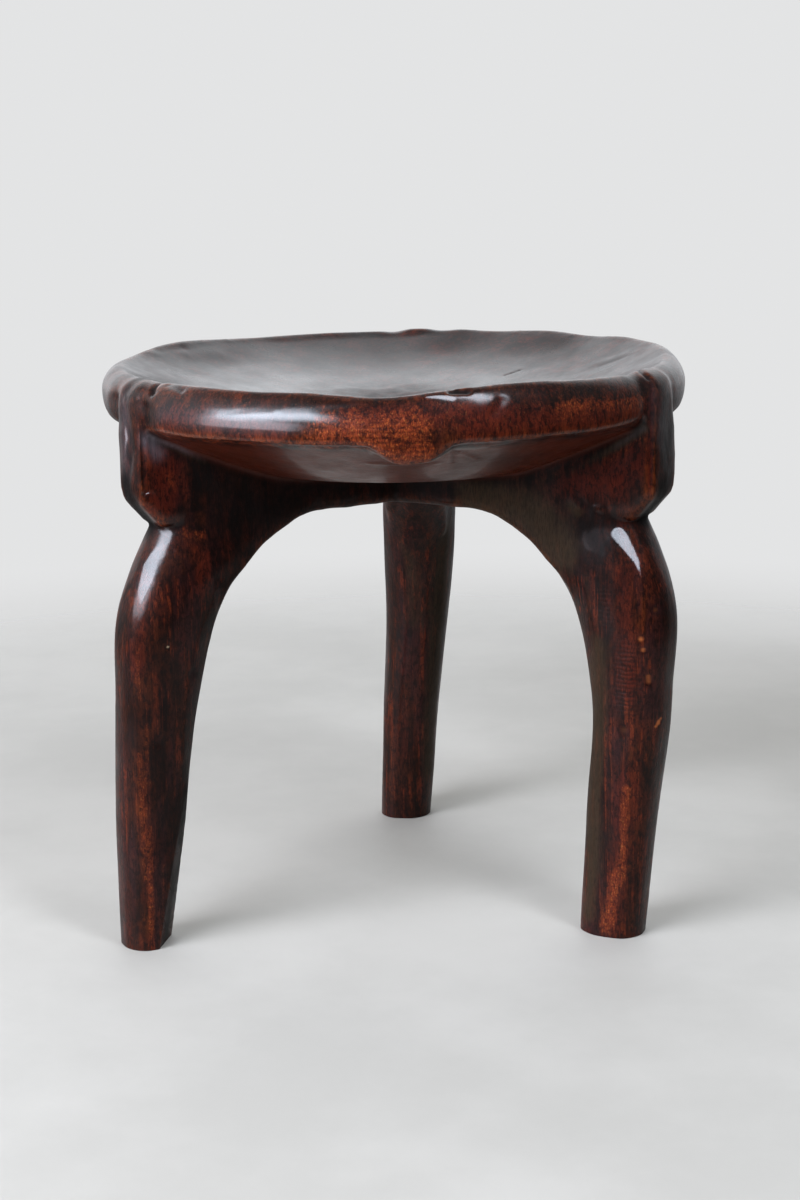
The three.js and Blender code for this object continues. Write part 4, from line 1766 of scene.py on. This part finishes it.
class Value:
    """A number, direction, colour or shader that a graph works out, with plain arithmetic."""

    def __init__(self, graph: "Graph", socket: bpy.types.NodeSocket) -> None:
        """Keeps the socket that gives the value."""
        self.graph = graph
        self.socket = socket

    def __add__(self, other: "Amount") -> "Value":
        """Sum with another value."""
        return self.graph.math("ADD", self, other)

    def __sub__(self, other: "Amount") -> "Value":
        """What is left when another value is taken away."""
        return self.graph.math("SUBTRACT", self, other)

    def __rsub__(self, other: float) -> "Value":
        """What is left of a number when this value is taken away."""
        return self.graph.math("SUBTRACT", other, self)

    def __mul__(self, other: "Amount") -> "Value":
        """Product with another value."""
        return self.graph.math("MULTIPLY", self, other)

    def span(self, low: float, high: float, to_low: float = 0.0, to_high: float = 1.0) -> "Value":
        """Stretches the value from one range to another, softly at its ends."""
        inputs = {0: self, 1: low, 2: high, 3: to_low, 4: to_high}
        return self.graph.add("ShaderNodeMapRange", inputs, interpolation_type="SMOOTHSTEP")


Amount = Union[float, Value]


class Graph:
    """A material, light or world under construction, with short ways to add nodes."""

    def __init__(self, tree: bpy.types.NodeTree) -> None:
        """Empties a node tree and keeps it."""
        self.tree = tree
        tree.nodes.clear()

    def add(self, kind: str, inputs: Optional[Dict[Any, Any]] = None, out: Any = 0, **settings: Any) -> Value:
        """Adds a node.

        Args:
            kind: The node's type.
            inputs: Numbers, rows of numbers or values for its sockets, by name or number.
            out: The name or number of the output that is wanted.
            settings: Values for the node's own fields.

        Returns:
            The value at that output.
        """
        node = self.tree.nodes.new(kind)
        for name, value in settings.items():
            setattr(node, name, value)
        for key, value in (inputs or {}).items():
            if isinstance(value, Value):
                self.tree.links.new(value.socket, node.inputs[key])
            elif node.inputs[key].type == "RGBA":
                node.inputs[key].default_value = (*value, 1.0)
            else:
                node.inputs[key].default_value = value
        return Value(self, node.outputs[out])

    def finish(self, kind: str, surface: Value) -> None:
        """Leads a shader to the tree's output, a node of the given type."""
        self.tree.links.new(surface.socket, self.tree.nodes.new(kind).inputs["Surface"])

    def math(self, how: str, *values: Amount, clamp: bool = False) -> Value:
        """Sum, product or other operation on values."""
        return self.add("ShaderNodeMath", dict(enumerate(values)), operation=how, use_clamp=clamp)

    def mix(self, share: Amount, first: Any, second: Any) -> Value:
        """Colour between two colours."""
        return self.add("ShaderNodeMix", {0: share, 6: first, 7: second}, 2, data_type="RGBA")

    def between(self, share: Amount, first: Amount, second: Amount) -> Value:
        """Number between two numbers."""
        return self.add("ShaderNodeMix", {0: share, 2: first, 3: second}, data_type="FLOAT")

    def split(self, value: Value) -> Tuple[Value, ...]:
        """The three parts of a direction or place."""
        first = self.add("ShaderNodeSeparateXYZ", {0: value})
        return tuple(Value(self, part) for part in first.socket.node.outputs)

    def noise(self, at: Value, scale: float, detail: float, rough: float = 0.5, bent: float = 0.0) -> Value:
        """Cloudy pattern."""
        inputs = {"Vector": at, "Scale": scale, "Detail": detail, "Roughness": rough, "Distortion": bent}
        return self.add("ShaderNodeTexNoise", inputs)


@dataclass(frozen=True)
class Figure:
    """A cloudy pattern in the wood, drawn out along the upright grain."""

    scale: float
    detail: float
    rough: float
    bent: float = 0.0
    along: float = 1.0
    shift: Triple = (0.0, 0.0, 0.0)


class WoodGraph(Graph):
    """The graph of a piece of wood, with its places and marks to start from."""

    def __init__(self, tree: bpy.types.NodeTree) -> None:
        """Reads the place on the piece and the marks that were left on it.

        Args:
            tree: The tree that is filled.
        """
        super().__init__(tree)
        self.at = self.add("ShaderNodeTexCoord", out="Object")
        names = ("wear", "grime_and_shade", "dish", "rim", "sat", "bowl", *(paint.value for paint in Paint))
        self.marks = {name: self.add("ShaderNodeAttribute", out="Fac", attribute_name=name) for name in names}

    def draw(self, figure: Figure) -> Value:
        """Draws a figure.

        Args:
            figure: The figure.

        Returns:
            Its light and dark.
        """
        at = self.at
        if figure.along != 1.0:
            stretch = {"Vector": at, "Scale": (1.0, 1.0, figure.along), "Location": figure.shift}
            at = self.add("ShaderNodeMapping", stretch)
        return self.noise(at, figure.scale, figure.detail, figure.rough, figure.bent)

    def ripples(self) -> Value:
        """Fine level ridges, as a blade leaves where it skips."""
        inputs = {"Vector": self.at, "Scale": 130.0, "Distortion": 2.5, "Detail": 2.0, "Detail Scale": 2.0}
        return self.add("ShaderNodeTexWave", inputs, "Fac", bands_direction="Z")

    def below_arms(self) -> Value:
        """One on the legs, fading to nothing on the arms and the seat."""
        return self.split(self.at)[2].span(0.18, 0.24, 1.0, 0.0)


@dataclass(frozen=True)
class WoodFinish:
    """Dark oiled hardwood, polished by use, with warm wear, dirt and painted shade in the hollows, and
    painted shade and sheen in places.
    """

    name: str = WOOD_SLOT
    black: Triple = (0.0058, 0.0024, 0.0019)
    brown: Triple = (0.0270, 0.0066, 0.0034)
    red: Triple = (0.130, 0.0155, 0.0065)
    rust: Triple = (0.220, 0.034, 0.0105)
    orange: Triple = (0.400, 0.085, 0.0170)
    amber: Triple = (0.460, 0.190, 0.060)
    olive: Triple = (0.046, 0.031, 0.0165)
    # near black, for soot and for painted shade
    soot_and_shade: Triple = (0.0030, 0.0022, 0.0020)
    plum: Triple = (0.036, 0.0105, 0.0120)
    # pale mauve, painted as sheen
    painted_sheen: Triple = (0.150, 0.128, 0.145)
    bare: Triple = (0.380, 0.105, 0.030)
    # pale bare wood of chips, also painted as a highlight on one
    chip_and_glint: Triple = (0.50, 0.37, 0.23)
    cloud: Figure = Figure(26.0, 5.0, 0.64, 1.2)
    mottle: Figure = Figure(95.0, 8.0, 0.74, 0.6, 0.6, (0.7, 0.2, 0.4))
    crumb: Figure = Figure(420.0, 5.0, 0.72, 0.5)
    speckle: Figure = Figure(520.0, 4.0, 0.7, 0.4, 0.5, (1.7, 0.2, 0.9))
    streak: Figure = Figure(200.0, 6.0, 0.72, 0.7, 0.09)
    line: Figure = Figure(430.0, 3.0, 0.6, 0.3, 0.035, (4.0, 1.0, 2.0))
    fibre: Figure = Figure(1500.0, 3.0, 0.6, 0.0, 0.16, (2.0, 0.0, 1.0))
    fleck: Figure = Figure(1250.0, 2.0, 0.6, 0.0, 0.55, (0.0, 3.0, 1.0))
    vein: Figure = Figure(150.0, 5.0, 0.7, 0.5, 0.06, (6.0, 2.0, 1.0))
    column: Figure = Figure(62.0, 3.0, 0.6, 0.3, 0.14, (9.0, 4.0, 2.0))
    dulling: Figure = Figure(60.0, 4.0, 0.6)
    oiling: Figure = Figure(38.0, 3.0, 0.6)
    ripple: Figure = Figure(120.0, 2.0, 0.5, 0.0, 0.4)
    peel: Figure = Figure(850.0, 3.0, 0.6, 0.0, 0.4)
    pores: Figure = Figure(1100.0, 1.0, 0.5, 0.0, 0.14, (3.0, 1.0, 2.0))

    def material(self) -> bpy.types.Material:
        """Builds the finish.

        Returns:
            The material.
        """
        made = bpy.data.materials.new(self.name)
        made.use_nodes = True
        g = WoodGraph(made.node_tree)
        inputs = {
            "Base Color": self.paint(g),
            "Roughness": self.roughness(g),
            "Normal": self.relief(g),
            "IOR": 1.46,
            "Specular IOR Level": 0.1,
            "Coat Weight": self.polish(g),
            "Coat Roughness": 0.13,
            "Coat IOR": 1.5,
        }
        g.finish("ShaderNodeOutputMaterial", g.add("ShaderNodeBsdfPrincipled", inputs))
        return made

    def paint(self, g: WoodGraph) -> Value:
        """Lays the wood's colours over each other.

        Args:
            g: The material's graph.

        Returns:
            The colour.
        """
        marks, below = g.marks, g.below_arms()
        cloud, crumb, speckle, fleck = (g.draw(f) for f in (self.cloud, self.crumb, self.speckle, self.fleck))
        mottle = g.draw(self.mottle)
        drift = g.between(below * 0.75, mottle, g.draw(self.vein))
        run = g.between(marks["rim"], g.draw(self.streak), crumb)
        patchy = drift * 0.45 + run * 0.55

        def spread(name: str, blur: float = 0.9) -> Value:
            """A stain's share, broken up by the patches in the wood."""
            broken = marks[name] + (patchy - 0.5) * (blur * 2.2)
            return broken.span(0.15, 0.9) * marks[name].span(0.0, 0.3)

        redness = cloud.span(0.42, 0.64) * patchy.span(0.40, 0.62)
        plums = g.draw(self.column).span(0.48, 0.60) * below.span(0.0, 1.0, 0.2, 0.6)
        drawn = g.draw(self.line).span(0.54, 0.64) * (below * cloud.span(0.35, 0.6))
        warm = spread("warm", 1.1) * crumb.span(0.40, 0.54, 0.3, 1.0)
        rubbed = g.math("MULTIPLY", marks["wear"], mottle.span(0.42, 0.62, 0.08, 0.5), clamp=True)
        bright = fleck.span(0.63, 0.75) * g.math("MAXIMUM", warm, marks["rim"] * 0.35)
        dark = speckle.span(0.38, 0.53, 0.75, 0.0) * warm.span(0.0, 1.0, 1.0, 0.5)
        coats = (
            (redness * 0.45, self.red),
            (plums, self.plum),
            (drawn * 0.62, self.rust),
            (spread("red") * 0.6, self.red),
            (warm * 0.8, self.rust),
            (warm * fleck.span(0.50, 0.62) * 0.7, self.orange),
            (rubbed, self.orange),
            (bright * 0.7, self.amber),
            (dark, self.black),
            (speckle.span(0.56, 0.70) * 0.12, self.rust),
            (marks["chatter"] * g.ripples().span(0.3, 0.65, 0.5, 0.0), self.black),
            (spread("olive") * 0.8, self.olive),
            # hollows darkened towards soot: dirt and painted shade
            (g.math("MULTIPLY", marks["grime_and_shade"], 0.6, clamp=True), self.soot_and_shade),
            (g.draw(self.fibre).span(0.30, 0.60, 0.5, 0.0), self.black),
            (below * 0.28, self.black),
            (marks["bowl"] * 0.24, self.rust),
            # soot, and painted shade where shade falls
            (marks["soot_and_shade"] * 0.94, self.soot_and_shade),
            # painted sheen, broken up by the patches in the wood
            (marks["painted_sheen"] * patchy.span(0.38, 0.6, 0.45, 0.9), self.painted_sheen),
            (marks["bare"].span(0.12, 0.9), self.bare),
            # pale chips and scratches, one of them a painted highlight
            (marks["pale"].span(0.25, 0.8), self.chip_and_glint),
        )
        base = g.mix(patchy.span(0.43, 0.57), self.black, self.brown)
        for share, tone in coats:
            base = g.mix(share, base, tone)
        return base

    def roughness(self, g: WoodGraph) -> Value:
        """Makes the wood duller where it is dirty.

        Args:
            g: The material's graph.

        Returns:
            The roughness.
        """
        marks = g.marks
        uneven = g.draw(self.dulling).span(0.3, 0.7, 0.32, 0.46) - marks["dish"] * 0.06
        rough = uneven + marks["grime_and_shade"] * 0.2 + marks["olive"] * 0.22
        return g.math("ADD", rough, marks["soot_and_shade"] * 0.25, clamp=True)

    def polish(self, g: WoodGraph) -> Value:
        """Spreads the oily shine, most where the stool is sat on and held.

        Args:
            g: The material's graph.

        Returns:
            The share of the shine.
        """
        marks = g.marks
        shine = g.draw(self.oiling).span(0.3, 0.7, 0.16, 0.30) * g.below_arms().span(0.0, 1.0, 1.0, 0.6)
        for name, share in (("dish", 0.12), ("sat", 0.62), ("rim", 0.16), ("shine", 0.46)):
            shine = shine + marks[name] * share
        dull = marks["soot_and_shade"]
        for name, share in (("olive", 0.8), ("grime_and_shade", 0.7), ("bowl", 0.1)):
            dull = g.math("MAXIMUM", dull, marks[name] * share)
        return g.math("MULTIPLY", shine, 1.0 - dull, clamp=True)

    def relief(self, g: WoodGraph) -> Value:
        """Adds the fine unevenness of the skin: ripples of the blade, pores and fibres.

        Args:
            g: The material's graph.

        Returns:
            The bent normal.
        """
        marks = g.marks
        calm = 1.0 - marks["dish"] * 0.75
        layers = (
            (calm * 0.22, 0.001, g.draw(self.ripple)),
            (calm * marks["rim"].span(0.0, 1.0, 0.5, 0.9), 0.0003, g.draw(self.peel)),
            (calm * 0.4, 0.00012, g.draw(self.pores).span(0.27, 0.42)),
            (marks["chatter"] * 0.7, 0.0003, g.ripples()),
        )
        under: Dict[str, Value] = {}
        for strength, distance, height in layers:
            inputs = {"Strength": strength, "Distance": distance, "Height": height}
            under = {"Normal": g.add("ShaderNodeBump", {**inputs, **under})}
        return under["Normal"]


@dataclass(frozen=True)
class Softbox:
    """A soft rectangular light that faces a point and fades towards its edges."""

    name: str
    place: Triple
    aim: Triple
    size: Pair
    power: float
    tint: Triple = (1.0, 1.0, 1.0)
    turn: float = 0.0
    fade: Pair = (0.3, 0.4)

    def hang(self) -> None:
        """Puts the light in the scene."""
        data = bpy.data.lights.new(self.name, "AREA")
        data.shape = "RECTANGLE"
        data.size, data.size_y = self.size
        data.energy = self.power
        data.color = self.tint
        data.use_nodes = True
        g = Graph(data.node_tree)
        glow = 1.0
        for axis, edge in zip(g.split(g.add("ShaderNodeNewGeometry", out="Parametric")), self.fade):
            glow = g.math("MULTIPLY", glow, axis.span(0.0, edge))
            glow = g.math("MULTIPLY", glow, axis.span(1.0 - edge, 1.0, 1.0, 0.0))
        shine = g.add("ShaderNodeEmission", {"Color": (1.0, 1.0, 1.0), "Strength": glow})
        g.finish("ShaderNodeOutputLight", shine)
        lamp = bpy.data.objects.new(self.name, data)
        lamp.location = self.place
        lamp.visible_camera = False
        away = Vector(self.place) - Vector(self.aim)
        roll = Quaternion((0.0, 0.0, 1.0), math.radians(self.turn))
        lamp.rotation_euler = (away.to_track_quat("Z", "Y") @ roll).to_euler()
        shown(lamp)


@dataclass(frozen=True)
class Studio:
    """Pale floor, pale surroundings, soft lights and the camera."""

    pitch: float = 12.701919
    roll: float = -0.958921
    yaw: float = 0.071225
    place: Triple = (0.0, -1.217485, 0.444885)
    lens: float = 66.0
    floor_radius: float = 1.2
    floor_tones: Tuple[Triple, Triple] = ((0.494, 0.471, 0.418), (0.553, 0.527, 0.470))
    floor_fades: Pair = (0.46, 1.0)
    glow_tone: Triple = (0.93, 0.96, 1.0)
    seen_tone: Triple = (0.77, 0.775, 0.78)
    lights: Tuple[Softbox, ...] = (
        Softbox(
            name="window",
            place=(-1.34, -1.225, 1.265),
            aim=(-0.05, -0.14, 0.29),
            size=(2.1, 0.68),
            power=125.0,
            tint=(0.78, 0.86, 1.0),
            turn=16.0,
        ),
        Softbox(
            name="sill",
            place=(-1.62, -1.12, 0.72),
            aim=(-0.05, -0.14, 0.29),
            size=(1.7, 0.66),
            power=38.0,
            tint=(0.90, 0.84, 0.95),
            fade=(0.3, 0.2),
        ),
        Softbox(
            name="overhead",
            place=(0.75, -0.96, 1.86),
            aim=(0.02, -0.15, 0.3),
            size=(0.5, 1.5),
            power=44.0,
            tint=(0.82, 0.88, 1.0),
        ),
    )

    def camera(self) -> None:
        """Sets the camera where the photograph was taken from."""
        data = bpy.data.cameras.new("camera")
        data.lens = self.lens
        data.sensor_width = 36.0
        data.clip_start, data.clip_end = 0.05, 50.0
        eye = shown(bpy.data.objects.new("camera", data))
        pitch, yaw, roll = (math.radians(a) for a in (self.pitch, self.yaw, self.roll))
        flat = math.cos(pitch)
        ahead = Vector((math.sin(yaw) * flat, math.cos(yaw) * flat, -math.sin(pitch)))
        level = Vector((math.cos(yaw), -math.sin(yaw), 0.0))
        above = level.cross(ahead)
        right = level * math.cos(roll) + above * math.sin(roll)
        up = above * math.cos(roll) - level * math.sin(roll)
        turn = Matrix((right, up, -ahead)).transposed()
        eye.matrix_world = Matrix.Translation(self.place) @ turn.to_4x4()
        bpy.context.scene.camera = eye

    def floor(self) -> None:
        """Lays the floor, which fades into the surroundings far from the stool."""
        form = bmesh.new()
        bmesh.ops.create_circle(form, cap_ends=True, segments=96, radius=self.floor_radius)
        floor = mesh_of("floor", form)
        made = bpy.data.materials.new("pale_floor")
        made.use_nodes = True
        g = Graph(made.node_tree)
        at = g.add("ShaderNodeTexCoord", out="Object")
        paint = g.mix(g.noise(at, 5.0, 5.0, 0.6).span(0.35, 0.65), *self.floor_tones)
        bump = g.add("ShaderNodeBump", {"Strength": 0.2, "Distance": 0.001, "Height": g.noise(at, 90.0, 4.0)})
        shader = g.add("ShaderNodeBsdfPrincipled", {"Base Color": paint, "Roughness": 0.6, "Normal": bump})
        away = g.add("ShaderNodeVectorMath", {0: at}, "Value", operation="LENGTH")
        clear = g.add("ShaderNodeBsdfTransparent")
        both = g.add("ShaderNodeMixShader", {0: away.span(*self.floor_fades), 1: shader, 2: clear})
        g.finish("ShaderNodeOutputMaterial", both)
        floor.data.materials.append(made)

    def surroundings(self) -> None:
        """Pale all round for the eye, brighter behind and above the stool for its sheen."""
        world = bpy.data.worlds.new("studio")
        bpy.context.scene.world = world
        world.use_nodes = True
        g = Graph(world.node_tree)
        way = g.add("ShaderNodeTexCoord", out="Generated")
        up = g.split(way)[2]
        level = g.add("ShaderNodeVectorMath", {0: way, 1: (1.0, 1.0, 0.0)}, operation="MULTIPLY")
        sideways, ahead, _ = g.split(g.add("ShaderNodeVectorMath", {0: level}, operation="NORMALIZE"))
        behind = g.math("MAXIMUM", ahead.span(0.25, 0.92, 0.08, 1.0), sideways.span(-0.96, -0.5, 0.45, 0.0))
        wall = up.span(0.45, 0.95, 1.75, 0.5) * up.span(0.1, 0.42, 0.72, 1.0)
        above = wall * up.span(-0.25, 0.05, 0.15, 1.0)
        glow = g.add("ShaderNodeBackground", {"Color": self.glow_tone, "Strength": behind * above})
        seen = g.add("ShaderNodeBackground", {"Color": self.seen_tone, "Strength": 1.0})
        path = g.add("ShaderNodeLightPath", out="Is Camera Ray")
        g.finish("ShaderNodeOutputWorld", g.add("ShaderNodeMixShader", {0: path, 1: glow, 2: seen}))

    def set_up(self) -> None:
        """Puts floor, surroundings, lights and camera in place."""
        self.floor()
        self.surroundings()
        for light in self.lights:
            light.hang()
        self.camera()
        bpy.context.scene.view_settings.view_transform = "Standard"


def main() -> None:
    """Builds the stool and its studio, and reports each piece."""
    logging.basicConfig(level=logging.INFO, format="%(message)s")
    carving = Carving(SeatBlank(), LIMBS)
    block = carving.build()
    LOG.info("block fused and cut: %d facets", len(block.body.data.polygons))
    skin = Skin(block, carving.marks, KEPT_FACETS)
    scrap(block.body)
    regions = Parting(carving.seat, carving.limbs).part(skin.body)
    wood = WoodFinish().material()
    for node, region in regions.items():
        skin.dress(region)
        region.data.transform(Matrix.Scale(MM, 4))
        region.data.materials.clear()
        region.data.materials.append(wood)
        region.name = f"{node}_wood"
        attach(region, "root")
        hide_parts(node)
        LOG.info("%s: %d facets", region.name, len(region.data.polygons))
    scrap(skin.body)
    Studio().set_up()


if __name__ == "__main__":
    main()
